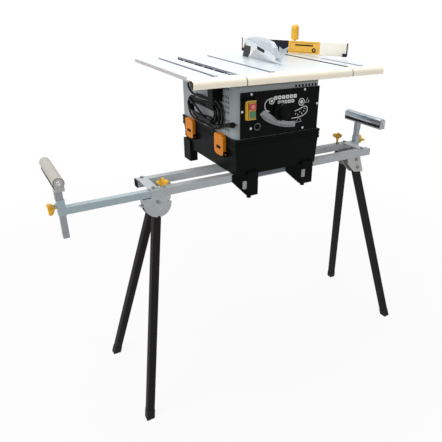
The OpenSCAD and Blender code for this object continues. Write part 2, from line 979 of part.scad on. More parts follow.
module rim() {
    groove = 2;
    difference() {
        block([-base_half, base_half], [-base_front, base_back], [rim_bottom, base_top]);
        block([-base_half + rim_thick, base_half - rim_thick],
            [-base_front + rim_thick, base_back - rim_thick], [rim_bottom - 1, base_top + 1]);
        for (z = [rim_bottom + 11, rim_bottom + 21]) difference() {
            block([-far, far], [-far, far], [z, z + 3]);
            block([-base_half + groove, base_half - groove],
                [-base_front + groove, base_back - groove], [z - 1, z + 4]);
        }
    }
}

// A front foot hangs in front of the rail, with a slanted wing on its left.
module front_foot(x, wing_x, bottom) {
    front = -rail_outer_y - 29;
    inner = -rail_outer_y - 9;
    block(x, [front, inner], [bottom, rail_top + 10]);
    block(x, [inner - 1, -rail_outer_y - 0.4], [rail_bottom - 2, rail_top + 10]);
    hull() {
        block([x[0], x[0] + 1], [front, inner], [bottom, rail_top]);
        block([wing_x, wing_x + 1], [-rail_outer_y - 4, -rail_outer_y - 0.5], [rail_bottom, rail_top]);
    }
    rod_z((x[0] + 5 + x[1]) / 2 - 14, (front + inner) / 2 - 0.5, [bottom - 8, bottom + 1], 8);
}

module rear_foot(side) {
    x = side * (base_half - 16);
    block([x - 16, x + 16], [base_back - 58, base_back + 1], [rail_top - 50, rail_top + 35]);
    rod_z(x, base_back - 29, [rail_top - 58, rail_top - 49], 8);
}

// Two ears that hold a latch's pin on the left side, for a latch that starts at y.
module latch_ears(y) {
    for (start = [y - ear_thick - latch_gap, y + latch_width + latch_gap]) difference() {
        block([-latch_pin_x - 6, -base_half + 10], [start, start + ear_thick],
            [latch_pin_z - 9, latch_pin_z + 9]);
        rod_y(-latch_pin_x, [start - 1, start + ear_thick + 1], latch_pin_z, latch_pin_r + shaft_gap);
    }
}

module base_tray() {
    color(plastic_black) in_part_frame() {
        difference() {
            tray_solid(0, rail_top);
            tray_solid(base_wall, rail_top + base_wall + 1);
            block([-90, 90], [80, 280], [rail_top - 1, rail_top + base_wall + 2]);
        }
        rim();
        front_foot([50 - base_half, 91 - base_half], -175, rail_top - front_foot_drop);
        front_foot([base_half - 73, base_half - 22], 52, rail_top - front_foot_drop + 3);
        for (side = [-1, 1]) rear_foot(side);
        for (y = [-front_latch_y, rear_latch_y]) {
            latch_ears(y);
            mirror([1, 0, 0]) latch_ears(y);
        }
    }
}

// A draw latch on the left side that starts at y, with a round foot and a hook on top.
module latch(y) {
    back = -base_half - latch_gap;
    x = [back - latch_thick, back];
    top = latch_bottom + latch_height;
    corner = 18;
    slot_half = 16;
    difference() {
        union() {
            block(x, [y, y + latch_width], [latch_bottom + corner, top]);
            block(x, [y + corner, y + latch_width - corner], [latch_bottom, top]);
            for (c = [y + corner, y + latch_width - corner]) rod_x(x, c, latch_bottom + corner, corner);
            block([x[0], back + 4], [y + 8, y + latch_width - 8], [base_top + face_gap, base_top + 3]);
            block([x[0], back], [y + 8, y + latch_width - 8], [top - 1, base_top + 3]);
            rod_y(-latch_pin_x, [y - ear_thick - latch_gap, y + latch_width + latch_gap + ear_thick],
                latch_pin_z, latch_pin_r);
        }
        block([x[0] - 1, x[0] + 7], [y + latch_width / 2 - slot_half, y + latch_width / 2 + slot_half],
            [latch_bottom + 22, latch_bottom + 33]);
    }
}

module front_left_latch() {
    color(latch_orange) in_part_frame() latch(-front_latch_y);
}

module back_left_latch() {
    color(latch_orange) in_part_frame() latch(rear_latch_y);
}

module front_right_latch() {
    color(latch_orange) in_part_frame() mirror([1, 0, 0]) latch(-front_latch_y);
}

module back_right_latch() {
    color(latch_orange) in_part_frame() mirror([1, 0, 0]) latch(rear_latch_y);
}

// ---- Cabinet and front panel ----

// The cabinet's outline seen from above, with round front corners.
module cabinet_outline(inset) {
    half = cabinet_half - inset;
    front = -cabinet_front + inset;
    r = corner_r - inset;
    translate([-half, front + r]) square([2 * half, cabinet_back - inset - front - r]);
    translate([-half + r, front]) square([2 * half - 2 * r, 2 * r]);
    for (side = [-1, 1]) translate([side * (half - r), front + r]) circle(r = r);
}

vent_rows = [23, 53, 81, 98, 115, 130, 158];
vent_pitch = 12;
vent_count = 6;

module vents(side) {
    for (row = vent_rows, i = [0 : vent_count - 1])
        block([side * cabinet_half - 5, side * cabinet_half + 5],
            [-42 + i * vent_pitch, -38 + i * vent_pitch],
            [cabinet_bottom + row - vent_length / 2, cabinet_bottom + row + vent_length / 2]);
}

module cabinet() {
    color(sheet_grey) in_part_frame() difference() {
        union() {
            translate([0, 0, cabinet_bottom]) linear_extrude(cabinet_height) difference() {
                cabinet_outline(0);
                cabinet_outline(sheet);
            }
            translate([0, 0, cabinet_bottom]) linear_extrude(sheet) difference() {
                cabinet_outline(0);
                cabinet_outline(rim_thick);
            }
            translate([0, 0, cabinet_top - sheet]) linear_extrude(sheet) difference() {
                cabinet_outline(0);
                translate([-cabinet_half + top_flange, -cabinet_front + top_flange])
                    square([2 * (cabinet_half - top_flange),
                        cabinet_front + cabinet_back - 2 * top_flange]);
            }
        }
        block([-panel_left + 15, panel_right - 15], [-cabinet_front - 1, -cabinet_front + sheet + 1],
            [panel_bottom + 15, panel_bottom + panel_height - 12]);
        for (side = [-1, 1]) vents(side);
        for (i = [0 : 6]) rod_y(64 + i * 14, [-cabinet_front - 1, -cabinet_front + sheet + 1],
            cabinet_top - 11, 3);
        rod_x([-cabinet_half - 1, -cabinet_half + sheet + 1], gland_y, gland_z, 6);
        block([blade_x - 8, blade_x + 8], [cabinet_back - top_flange - 1, cabinet_back - sheet - 4],
            [cabinet_top - sheet - 1, cabinet_top + 1]);
    }
}

module front_panel() {
    boss = 12;
    color(plastic_black) in_part_frame() difference() {
        union() {
            block([-panel_left, panel_right], [-panel_front, -cabinet_front],
                [panel_bottom, panel_bottom + panel_height]);
            rod_y(wheel_x, [-panel_front, -cabinet_front + 15], wheel_z, boss);
            rod_y(reset_x, [-panel_front - 3, -panel_front + 1], reset_z, reset_r + 3);
        }
        rod_y(wheel_x, [-panel_front - 1, -cabinet_front + 16], wheel_z, wheel_shaft_r + shaft_gap);
        rod_y(reset_x, [-panel_front - 4, -cabinet_front + 1], reset_z, reset_r + button_gap);
    }
}

module panel_screws() {
    color(hardware) in_part_frame() for (spot = panel_screw_spots)
        rod_y(spot[0], [-panel_front - 2, -panel_front], cabinet_bottom + spot[1], 4);
}

// The two push buttons' places in the switch box: low and high corners in X and Z.
stop_span = [[switch_x + 7, switch_bottom + 34], [switch_x + 31, switch_bottom + 52]];
start_span = [[switch_x + 10, switch_bottom + 8], [switch_x + 31, switch_bottom + 27]];

module button_shape(span, y, grow) {
    block([span[0][0] - grow, span[1][0] + grow], y, [span[0][1] - grow, span[1][1] + grow]);
}

module switch_box() {
    front = -panel_front - switch_depth;
    color(knob_yellow) in_part_frame() difference() {
        union() {
            block([switch_x, switch_x + switch_width], [front, -panel_front],
                [switch_bottom, switch_bottom + switch_height]);
            rod_x([switch_x - 8, switch_x + switch_width - 2], -panel_front - lid_bar_r - 1,
                switch_bottom + switch_height + lid_bar_r / 2, lid_bar_r);
        }
        for (span = [stop_span, start_span]) button_shape(span, [front - 1, front + button_depth], button_gap);
    }
}

module push_button(span, proud) {
    front = -panel_front - switch_depth;
    button_shape(span, [front - proud, front + button_depth - button_travel - 0.5], 0);
}

module stop_button() {
    color([0.75, 0.18, 0.18]) in_part_frame() push_button(stop_span, 4);
}

module start_button() {
    color([0.20, 0.50, 0.22]) in_part_frame() push_button(start_span, 3.5);
}

module reset_button() {
    color(plastic_black) in_part_frame()
        rod_y(reset_x, [-panel_front - 6, -cabinet_front + 1], reset_z, reset_r);
}

module handwheel() {
    front = -panel_front - wheel_reach;
    skirt_back = -panel_front - 4;
    skirt = 8;
    cap = 5;
    color(plastic_black) in_part_frame() {
        rod_y(wheel_x, [front + cap, 60], wheel_z, wheel_shaft_r);
        rod_y(wheel_x, [skirt_back - skirt, skirt_back], wheel_z, wheel_r);
        rod_y(wheel_x, [front + cap, skirt_back - skirt + 1], wheel_z, grip_r);
        rod_y(wheel_x, [front, front + cap + 1], wheel_z, grip_r - cap);
    }
}

// ---- Table ----

// The rolled front rail in Y and Z: a sheet that turns down at the front.
module apron_shape() {
    y0 = -apron_front;
    z1 = table_top;
    z0 = table_top - apron_height;
    centre = [y0 + apron_r, z1 - apron_r];
    polygon(concat([[-plate_front, z1]], arc(centre, apron_r, 90, 180), [[y0, z0], [y0 + apron_wall, z0]],
        arc(centre, apron_r - apron_wall, 180, 90), [[-plate_front, z1 - apron_wall]]));
}

module table_plate(x) {
    block(x, [-plate_front, plate_back], [plate_bottom, table_top]);
}

// The channel under a plate that holds a mitre groove.
module groove_channel(x) {
    half = groove_width / 2 + groove_wall;
    block([x - half, x + half], [-plate_front, plate_back], [channel_bottom, plate_bottom + 1]);
}

module groove_cut(x) {
    half = groove_width / 2;
    block([x - half, x + half], [-plate_front + 5, plate_back + 1], [groove_floor, table_top + 1]);
}

module guide_bosses(x) {
    for (y = [-front_guide_y, rear_guide_y]) difference() {
        block(x, [y - 15, y + 15], [rib_bottom, plate_bottom + 1]);
        rod_x([x[0] - 1, x[1] + 1], y, guide_z, guide_r + shaft_gap);
    }
}

module main_table() {
    color(table_white) in_part_frame() difference() {
        union() {
            slab_x([-main_left, main_right - face_gap]) apron_shape();
            table_plate([-main_left, main_right]);
            groove_channel(main_groove_x);
            guide_bosses([-main_left + 3, -main_left + 3 + boss_length]);
            guide_bosses([main_right - 3 - boss_length, main_right - 3]);
            block([-main_left + 3, main_right - 3], [-plate_front + 5, -plate_front + 13],
                [rib_bottom, plate_bottom + 1]);
            block([-main_left + 3, blade_x - 40], [300, 308], [rib_bottom, plate_bottom + 1]);
            block([blade_x + 40, main_right - 3], [300, 308], [rib_bottom, plate_bottom + 1]);
            block([blade_x + knife_thick / 2, blade_x + 40],
                [knife_foot_back - 20, knife_foot_back - 2], [knife_foot_z, plate_bottom + 1]);
        }
        groove_cut(main_groove_x);
        block([blade_x - insert_half, blade_x + insert_half], [insert_front, insert_back],
            [table_top - insert_thick, table_top + 1]);
        block([blade_x - insert_half + ledge, blade_x + insert_half - ledge],
            [insert_front + ledge, insert_back - ledge], [plate_bottom - 0.5, table_top + 1]);
    }
}

module guide_tube(x, y) {
    difference() {
        rod_x(x, y, guide_z, guide_r);
        rod_x([x[0] - 1, x[1] + 1], y, guide_z, guide_r - 1.5);
    }
}

// An extension: its plate, a shallow outer lip, a deep inner edge, its front rail and its groove.
module extension(plate, apron, groove_x, lip_x, edge_x) {
    difference() {
        union() {
            slab_x(apron) apron_shape();
            table_plate(plate);
            groove_channel(groove_x);
            block([lip_x, lip_x + skirt], [-plate_front, plate_back], [plate_bottom - lip, plate_bottom + 1]);
            block([edge_x, edge_x + skirt], [-plate_front, plate_back], [rib_bottom, plate_bottom + 1]);
        }
        groove_cut(groove_x);
        for (y = [-front_guide_y, rear_guide_y])
            rod_x([plate[0] - 1, plate[1] + 1], y, guide_z, guide_r + shaft_gap);
    }
}

module left_extension() {
    color(table_white) in_part_frame() {
        extension([left_edge, left_edge + left_width], [left_edge - apron_overhang, -main_left - face_gap],
            left_groove_x, left_edge, left_edge + left_width - skirt);
        for (y = [-front_guide_y, rear_guide_y])
            guide_tube([left_edge + left_width - tube_start, -main_left + guide_inner_reach], y);
    }
}

module right_extension() {
    color(table_white) in_part_frame() {
        extension([right_edge - right_width, right_edge], [main_right, right_edge + apron_overhang],
            right_groove_x, right_edge - skirt, right_edge - right_width);
        for (y = [-front_guide_y, rear_guide_y])
            guide_tube([main_right - guide_inner_reach + 40, right_edge - right_width + tube_start], y);
    }
}

module table_insert() {
    color(steel) in_part_frame() difference() {
        block([blade_x - insert_half + insert_gap, blade_x + insert_half - insert_gap],
            [insert_front + insert_gap, insert_back - insert_gap], [table_top - insert_thick, table_top]);
        block([blade_x - blade_slot / 2, blade_x + blade_slot / 2], [60, knife_foot_back + 2],
            [table_top - insert_thick - 1, table_top + 1]);
    }
}

// ---- Blade, motor, knife and guard ----

// One tooth as three points: gullet, back and tip.
function tooth(i) = let (step = 360 / blade_teeth) [
    for (p = [[0.15, -9], [0.45, -5], [1, 0]]) let (a = (i + p[0]) * step, r = blade_r + p[1])
        [r * cos(a), r * sin(a)]];

module blade() {
    color(hardware) in_part_frame() translate([blade_x - blade_thick / 2, blade_y, blade_z])
        rotate([90, 0, 90]) linear_extrude(blade_thick) difference() {
            polygon([for (i = [0 : blade_teeth - 1]) each tooth(i)]);
            circle(r = arbor_r + shaft_gap);
            for (a = [45 : 90 : 315]) rotate(a) translate([blade_r * 0.6, 0]) circle(r = 4);
        }
}

module motor_unit() {
    blade_side = blade_x - blade_thick / 2 - face_gap;
    motor_right = blade_side - 10;
    far_side = blade_x + blade_thick / 2 + face_gap;
    color(steel) in_part_frame() difference() {
        union() {
            rod_x([motor_right - motor_length, motor_right], blade_y, blade_z, motor_r);
            rod_x([motor_right - 1, blade_side], blade_y, blade_z, arbor_r + 12);
            rod_x([blade_side - 1, far_side + 12], blade_y, blade_z, arbor_r);
            rod_x([far_side, far_side + 8], blade_y, blade_z, arbor_r + 10);
            block([rod_x_place - 14, rod_x_place + 14],
                [blade_y - rod_spacing / 2 - 14, blade_y + rod_spacing / 2 + 14],
                [blade_z - ear_half, blade_z + ear_half]);
        }
        for (side = [-1, 1]) rod_z(rod_x_place, blade_y + side * rod_spacing / 2,
            [blade_z - ear_half - 1, blade_z + ear_half + 1], rod_r + shaft_gap);
    }
}

module lift_rods() {
    color(hardware) in_part_frame() for (side = [-1, 1])
        rod_z(rod_x_place, blade_y + side * rod_spacing / 2, [rod_bottom, plate_bottom], rod_r);
}

// The knife's front edge follows the blade at an even gap, then rises to the guard's pin.
module knife_shape() {
    low = asin((knife_foot_z - blade_z) / knife_r);
    high = asin((table_top + 16 - blade_z) / knife_r);
    centre = [blade_y, blade_z];
    polygon(concat(arc(centre, knife_r, low, high, 10),
        arc([guard_pin_y, guard_pin_z], 12, 200, 30, 10),
        [[knife_foot_back - 18, guard_pin_z - 6], [knife_foot_back - 4, table_top],
            [knife_foot_back, table_top - 2], [knife_foot_back, knife_foot_z]]));
}

module riving_knife() {
    color(plastic_black) in_part_frame() difference() {
        slab_x([blade_x - knife_thick / 2, blade_x + knife_thick / 2]) knife_shape();
        rod_x([blade_x - knife_thick, blade_x + knife_thick], guard_pin_y, guard_pin_z,
            guard_pin_r + shaft_gap);
    }
}

// The guard's side, from its rear foot forward to the lead-in lip and back over the top.
function over_table(points) = [for (p = points) [p[0], table_top + p[1]]];
tip_y = blade_y - sqrt(pow(blade_r, 2) - pow(blade_depth, 2)) - 3;
roof = blade_r - blade_depth + 1;
guard_side = over_table([[guard_pin_y + 21, 7], [tip_y, 4.5], [tip_y - 44, 45], [tip_y + 17, roof - 10],
    [tip_y + 40, roof - 5], [guard_pin_y - 2, roof + 24], [guard_pin_y + 15, roof + 11]]);
guard_hollow = over_table([[guard_pin_y + 50, -20], [tip_y + 6.5, -20], [tip_y + 6.5, 6.5],
    [tip_y - 34, 44], [tip_y + 17, roof - 12.7], [tip_y + 41, roof - 7.7],
    [guard_pin_y - 15, roof + 18.7], [guard_pin_y - 15, roof + 50], [guard_pin_y + 50, roof + 50]]);
window_ends = [guard_pin_y - guard_pin_back + 5, guard_pin_y - 0.48 * guard_pin_back];
guard_window = over_table([[window_ends[0], roof - 1], [window_ends[1], roof + 8],
    [window_ends[1], roof + 1], [window_ends[0], roof - 8]]);

module guard() {
    side = guard_outside / 2;
    color(clear_guard) in_part_frame() {
        difference() {
            slab_x([blade_x - side, blade_x + side]) polygon(guard_side);
            slab_x([blade_x - guard_inside / 2, blade_x + guard_inside / 2]) polygon(guard_hollow);
            slab_x([blade_x - side - 1, blade_x - guard_inside / 2 + 1])
                polygon(guard_window);
        }
        rod_x([blade_x - side - 3, blade_x + side + 3], guard_pin_y, guard_pin_z, guard_pin_r);
    }
}

// ---- Mitre gauge ----

// The gauge's own frame: X along the fence, Y away from the user, origin at the pivot.
module at_gauge() {
    translate([right_groove_x, gauge_y, 0]) rotate([0, 0, -gauge_angle]) children();
}

module mitre_bar() {
    half = groove_width / 2 - bar_side_gap;
    color(hardware) in_part_frame() {
        block([right_groove_x - half, right_groove_x + half], [bar_back - bar_length, bar_back],
            [groove_floor + face_gap, table_top]);
        rod_z(right_groove_x, gauge_y, [table_top - 1, table_top + head_thick + 14], pivot_pin_r);
    }
}

module mitre_head() {
    top = head_z + head_thick;
    color(steel) in_part_frame() at_gauge() difference() {
        union() {
            intersection() {
                rod_z(0, 0, [head_z, top], head_r);
                block([-head_r, head_r], [-board_back_face, head_r], [head_z, top]);
            }
            block([-80, 80], [-board_back_face, -board_back_face + upstand_thick],
                [head_z, table_top + board_height - 12]);
        }
        rod_z(0, 0, [head_z - 1, top + 1], pivot_pin_r + shaft_gap);
        for (side = [-1, 1]) block([side * 72 - 4, side * 72 + 4], [-30, 0], [top + 8, top + 16]);
    }
}

module mitre_handle() {
    bottom = head_z + head_thick + face_gap;
    grip_bottom = table_top + board_height + 3;
    grip_top = table_top + handle_height;
    color(knob_yellow) in_part_frame() at_gauge() difference() {
        union() {
            rod_z(0, 0, [bottom, grip_bottom + 1], pivot_pin_r + 1.6);
            rod_z(0, 0, [grip_bottom, grip_top - handle_r], handle_r);
            translate([0, 0, grip_top - handle_r]) intersection() {
                sphere(r = handle_r);
                cylinder(r = handle_r, h = handle_r);
            }
        }
        rod_z(0, 0, [bottom - 1, table_top + head_thick + 15], pivot_pin_r + shaft_gap);
    }
}

module fence_board() {
    top = table_top + board_height;
    color([0.95, 0.94, 0.88]) in_part_frame() at_gauge() {
        block([-board_left, board_length - board_left], [-board_front, -board_back_face], [head_z, top]);
        for (x = [-board_left + 1, board_length - board_left - 15])
            block([x, x + 14], [-board_front - 7, -board_front + 1], [head_z, head_z + 11]);
    }
}

// ---- Cord ----

module cord_hanger() {
    front = hank_inner_x - hank_thick - 0.3;
    top = hank_bottom + hank_height + 0.3;
    head = cabinet_top - 9;
    flange = 14;
    color(plastic_black) in_part_frame() {
        block([front - 3, -cabinet_half], strap_y, [top, top + 4]);
        block([front - 3, front], strap_y, [top - 30, head]);
        block([front - 3, -cabinet_half], [strap_y[0] - flange, strap_y[1] + flange], [head - 4, head]);
        block([-cabinet_half - 3, -cabinet_half], strap_y, [top, head]);
    }
}

module cord_gland() {
    color(plastic_black) in_part_frame() difference() {
        union() {
            rod_x([-cabinet_half - 10, -cabinet_half], gland_y, gland_z, 9);
            rod_x([-cabinet_half - 1, -cabinet_half + 8], gland_y, gland_z, 6);
        }
        rod_x([-cabinet_half - 11, -cabinet_half + 9], gland_y, gland_z, cord_d / 2);
    }
}

// A ring of points about the cord's line at p, square to direction d.
function ring(p, d) = let (u = cross(d, [0, 0.3, 1]), v = cross(u, d)) [
    for (i = [0 : lead_sides - 1]) let (a = 360 * i / lead_sides)
        p + cord_d / 2 * (cos(a) * u / norm(u) + sin(a) * v / norm(v))];

function heading(points, i) = points[min(i + 1, len(points) - 1)] - points[max(i - 1, 0)];

module cord_tube(points) {
    n = len(points);
    rings = [for (i = [0 : n - 1]) each ring(points[i], heading(points, i))];
    sides = [for (k = [0 : n - 2], i = [0 : lead_sides - 1]) let (j = (i + 1) % lead_sides)
        [k * lead_sides + i, k * lead_sides + j, (k + 1) * lead_sides + j, (k + 1) * lead_sides + i]];
    first = [for (i = [lead_sides - 1 : -1 : 0]) i];
    last = [for (i = [0 : lead_sides - 1]) (n - 1) * lead_sides + i];
    polyhedron(rings, concat(sides, [first], [last]));
}

module cord_lead() {
    color(plastic_black) in_part_frame() cord_tube(lead_points);
}

module cord_hank() {
    x = [hank_inner_x - hank_thick, hank_inner_x];
    color(plastic_black) in_part_frame() {
        block(x, [hank_front + hank_r, hank_back - hank_r], [hank_bottom, hank_bottom + hank_height]);
        for (y = [hank_front + hank_r, hank_back - hank_r]) rod_x(x, y, hank_mid_z, hank_r);
    }
}

module plug() {
    sleeve = 42;
    body = 84;
    collar = 97;
    color(plastic_black) in_part_frame() translate([plug_x, plug_tail_y, plug_z]) rotate([-plug_tilt, 0, 0]) {
        rod_y(0, [-sleeve, 0], 0, plug_r - 1.5);
        rod_y(0, [-body, 1 - sleeve], 0, plug_r);
        rod_y(0, [-collar, 1 - body], 0, plug_r + 2);
        for (side = [-1, 1]) rod_y(0, [-collar - 17, 1 - collar], side * 5.5, 2.2);
    }
}

// ---- The part ----

front_rail();
back_rail();
rail_end_caps();
cross_plates();
stand_bolts();
front_left_bracket();
back_left_bracket();
front_right_bracket();
back_right_bracket();
front_left_leg();
back_left_leg();
front_right_leg();
back_right_leg();
front_left_foot();
back_left_foot();
front_right_foot();
back_right_foot();
left_arm();
right_arm();
left_post();
right_post();
left_roller_bracket();
right_roller_bracket();
left_roller();
right_roller();
front_rail_knob();
back_rail_knob();
left_post_knob();
right_post_knob();
base_tray();
front_left_latch();
back_left_latch();
front_right_latch();
back_right_latch();
cabinet();
front_panel();
panel_screws();
switch_box();
stop_button();
start_button();
reset_button();
handwheel();
main_table();
left_extension();
right_extension();
table_insert();
blade();
motor_unit();
lift_rods();
riving_knife();
guard();
mitre_bar();
mitre_head();
mitre_handle();
fence_board();
cord_hanger();
cord_gland();
cord_lead();
cord_hank();
plug();
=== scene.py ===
# %% [markdown]
# # A portable table saw on a folding stand
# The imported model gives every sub-part its size and place. This lesson dresses it: first the
# camera, then the cord, the finishes and the small pieces that the solids leave out. The whole
# saw could be modelled again in Blender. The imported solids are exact, so they are kept wherever
# their shape is right and only get a finish.

# %% The frame
import json
import math

import bmesh
import bpy
from mathutils import Matrix, Vector

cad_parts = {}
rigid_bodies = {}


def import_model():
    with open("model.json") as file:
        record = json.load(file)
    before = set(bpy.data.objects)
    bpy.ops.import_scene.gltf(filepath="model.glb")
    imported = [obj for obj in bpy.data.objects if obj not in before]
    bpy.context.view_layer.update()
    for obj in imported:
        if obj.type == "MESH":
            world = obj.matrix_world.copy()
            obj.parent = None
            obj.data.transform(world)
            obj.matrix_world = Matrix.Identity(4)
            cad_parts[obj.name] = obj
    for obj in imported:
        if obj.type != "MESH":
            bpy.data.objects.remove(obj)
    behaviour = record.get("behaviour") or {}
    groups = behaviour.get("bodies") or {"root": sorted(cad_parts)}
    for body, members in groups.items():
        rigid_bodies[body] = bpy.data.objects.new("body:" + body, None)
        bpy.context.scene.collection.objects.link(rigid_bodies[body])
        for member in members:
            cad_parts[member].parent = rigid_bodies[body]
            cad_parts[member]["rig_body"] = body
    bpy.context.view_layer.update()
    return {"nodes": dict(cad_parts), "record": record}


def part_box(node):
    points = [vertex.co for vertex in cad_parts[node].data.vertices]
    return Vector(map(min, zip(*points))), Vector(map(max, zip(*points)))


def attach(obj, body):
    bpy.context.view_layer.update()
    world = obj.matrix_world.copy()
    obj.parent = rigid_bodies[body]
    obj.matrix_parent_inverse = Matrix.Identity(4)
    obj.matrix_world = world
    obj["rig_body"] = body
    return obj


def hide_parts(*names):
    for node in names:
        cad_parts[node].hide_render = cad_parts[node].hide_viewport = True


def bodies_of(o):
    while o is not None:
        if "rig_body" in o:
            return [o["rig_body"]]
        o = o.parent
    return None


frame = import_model()
nodes = frame["nodes"]

# %% [markdown]
# The stand was drawn in millimetres from the middle of its four feet. Those are handy numbers to
# think in, so one helper turns them into the frame's metres. The middle could be typed in, but it
# is read from two feet that stand cornerwise, so it follows the model.

# %% Millimetres from the middle of the stand
middle = (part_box("front_left_foot")[0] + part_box("back_right_foot")[1]) / 2


def at(x, y, z):
    return Vector((middle.x + x / 1000, middle.y + y / 1000, z / 1000))


print("middle of the stand", [round(v, 4) for v in middle])

# %% [markdown]
# ## Camera
# A person stands at the left front corner, a little above the table, and looks down along the
# saw. A tracking constraint could aim the camera, but it can't roll it. So the camera's axes are
# worked out from its yaw, pitch and a slight roll. The shift keeps the saw in the picture without
# turning the camera, so that upright edges stay as they are.

# %% Camera
yaw = math.radians(32.68)
pitch = math.radians(26.47)
roll = math.radians(1.45)
eye = at(-915, -1388, 1368)
forward = Vector((math.sin(yaw) * math.cos(pitch), math.cos(yaw) * math.cos(pitch),
    -math.sin(pitch)))
level = Vector((math.cos(yaw), -math.sin(yaw), 0))
upward = level.cross(forward)
camera_right = math.cos(roll) * level + math.sin(roll) * upward
camera_up = math.cos(roll) * upward - math.sin(roll) * level
camera_data = bpy.data.cameras.new("camera")
camera_data.lens = 38.0
camera_data.shift_x = -0.0817
camera_data.shift_y = 0.0068
camera = bpy.data.objects.new("camera", camera_data)
bpy.context.scene.collection.objects.link(camera)
turn = Matrix((camera_right, camera_up, -forward)).transposed().to_4x4()
camera.matrix_world = Matrix.Translation(eye) @ turn
bpy.context.scene.camera = camera
print("camera at", [round(v, 3) for v in eye], "with a", camera_data.lens, "mm lens")

# %% [markdown]
# ## Cord
# The mains lead is 3.2 m of 7.5 mm rubber cord. It leaves the cabinet's left side, dips under its
# own weight and goes into a long hank on a hanger under the table. It could be placed point by
# point, or dropped as a simulated rope. A coil is a rule, so its turns come from a loop here, and
# only the lead and the last run to the plug are listed point by point.
#
# The hank's plane stands beside the cabinet. These are its sizes in millimetres: how far it
# reaches to the front and back, the radius of the bends, and for every turn its distance from the
# cabinet at both ends and its slope, because nobody winds a cord evenly.

# %% Sizes of the hank
cord_width = 0.0075
lead_points = [(-182, 222, 1068), (-188, 222, 1068), (-194, 220, 1067), (-198, 216, 1065),
    (-201, 210, 1061), (-202, 204, 1056), (-202, 198, 1050), (-200, 192, 1044),
    (-197, 187, 1038), (-194, 182, 1034)]
plug_end = (-190, -7, 961)
last_points = [(-202, 140, 994), (-202, 100, 978), (-197, 60, 963), (-192, 32, 956.5),
    (-190, 12, 956.6), plug_end]
turns = 6
steps_a_quarter = 24
hank_front, hank_back, hank_height = 35, 210, 990
first_turn, outer_turn = 44, 49.2
turn_step, nested_turns = 7.6, 4
entry_y = 158
level_y = 115
near_cabinet = -181
depth_run = 90
back_depths = (13, 3, 21, 9, 17, 6, 22)
front_depths = (0, 9, 2, 12, 5, 14, 21)
slopes = (0, 0, 0.03, -0.06, 0.09, -0.09, 0.06)
wander_height, wander_run, wander_shift = 1.8, 26, 2.3
print("hank of", turns, "turns,", hank_back - hank_front, "mm between its bends")

# %% [markdown]
# Each turn is a racetrack: a top run, a bend at the front, a bottom run and a bend at the back. A
# turn lies inside the one before it, and the last ones lie beside each other. A helix with fixed
# steps would give the same loops but would look machine-made, so the runs wander a little.

# %% A place on the hank
step_in_share = 0.75
entry_share = 0.25


def ease(share):
    share = min(max(share, 0), 1)
    return share * share * (3 - 2 * share)


def hank_point(travel):
    """Where the cord is after so many turns."""
    bend = math.floor(travel - 0.5)
    nested = min(bend + ease((travel - 0.5 - bend) / step_in_share), nested_turns)
    radius = outer_turn - turn_step * nested
    if bend < 0:
        radius = first_turn + (outer_turn - first_turn) * ease(travel / entry_share)
    back = hank_back - radius
    quarter, share = divmod(travel * 4 % 4, 1)
    if quarter == 0:
        y, z = back + (hank_front - back) * share, radius
    elif quarter == 1:
        y = hank_front - radius * math.sin(share * math.pi)
        z = radius * math.cos(share * math.pi)
    elif quarter == 2:
        y, z = hank_front + (back - hank_front) * share, -radius
    else:
        y = back + radius * math.sin(share * math.pi)
        z = -radius * math.cos(share * math.pi)
    away = ease((y - hank_front) / depth_run)
    wave = math.sin(y / wander_run + wander_shift * bend) * (quarter in (0, 2))
    depth = front_depths[bend + 1] * (1 - away) + back_depths[bend + 1] * away
    slope = slopes[bend + 1] * (y - level_y)
    return Vector((near_cabinet - depth, y, hank_height + z - wander_height * away * wave + slope))


def smooth_path(points, per_span=4):
    """A curve through given points, by Catmull and Rom's rule."""
    points = [Vector(p) for p in points]
    ends = [2 * points[0] - points[1], *points, 2 * points[-1] - points[-2]]
    path = []
    for a, b, c, d in zip(ends, ends[1:], ends[2:], ends[3:]):
        for i in range(per_span):
            t = i / per_span
            path.append(0.5 * (2 * b + (c - a) * t + (2 * a - 5 * b + 4 * c - d) * t ** 2
                + (3 * b - a - 3 * c + d) * t ** 3))
    return path + [points[-1]]


print("first turn starts at", [round(v) for v in hank_point(0)])

# %% [markdown]
# Lead, turns and last run become one path. A mesh tube could follow it, but a poly curve with a
# round bevel is lighter to make, stays even in its bends, and its length can be measured from its
# points. The last run starts from the hank's own end, so there is no kink where they meet.

# %% The cord's curve
start = (hank_back - first_turn - entry_y) / (hank_back - first_turn - hank_front) / 4
steps = turns * 4 * steps_a_quarter
wound = [hank_point(start + (turns - start) * i / steps) for i in range(steps + 1)]
last_steps = 6
last_run = smooth_path([wound[-3], wound[-1], *last_points], last_steps)[last_steps + 1:]
cord_path = [at(*p) for p in smooth_path([*lead_points, wound[0]])[:-1] + wound + last_run]
cord_curve = bpy.data.curves.new("mains_cord", "CURVE")
cord_curve.dimensions = "3D"
cord_curve.bevel_depth = cord_width / 2
cord_curve.bevel_resolution = 4
cord_curve.use_fill_caps = True
spline = cord_curve.splines.new("POLY")
spline.points.add(len(cord_path) - 1)
for point, place in zip(spline.points, cord_path):
    point.co = (*place, 1)
spline.use_smooth = True
mains_cord = bpy.data.objects.new("mains_cord", cord_curve)
bpy.context.scene.collection.objects.link(mains_cord)

# %% [markdown]
# ## Finishes
# Every finish on the saw is a base colour with slow patches of a second tone, a fine grain that
# catches the light and some spread in its gloss. An image texture could show that, but it would
# have to be wrapped round each piece. Noise in the frame's own space needs no wrapping.
#
# Colours are given as a paint card gives them, from 0 to 255, and turned into the linear light
# that the shader wants. The other helpers save a line for each node that is set or linked.

# %% Node helpers
def paint(red, green, blue):
    """A colour from a paint card in linear light."""
    values = [c / 255 for c in (red, green, blue)]
    return (*[v / 12.92 if v < 0.04045 else ((v + 0.055) / 1.055) ** 2.4 for v in values], 1)


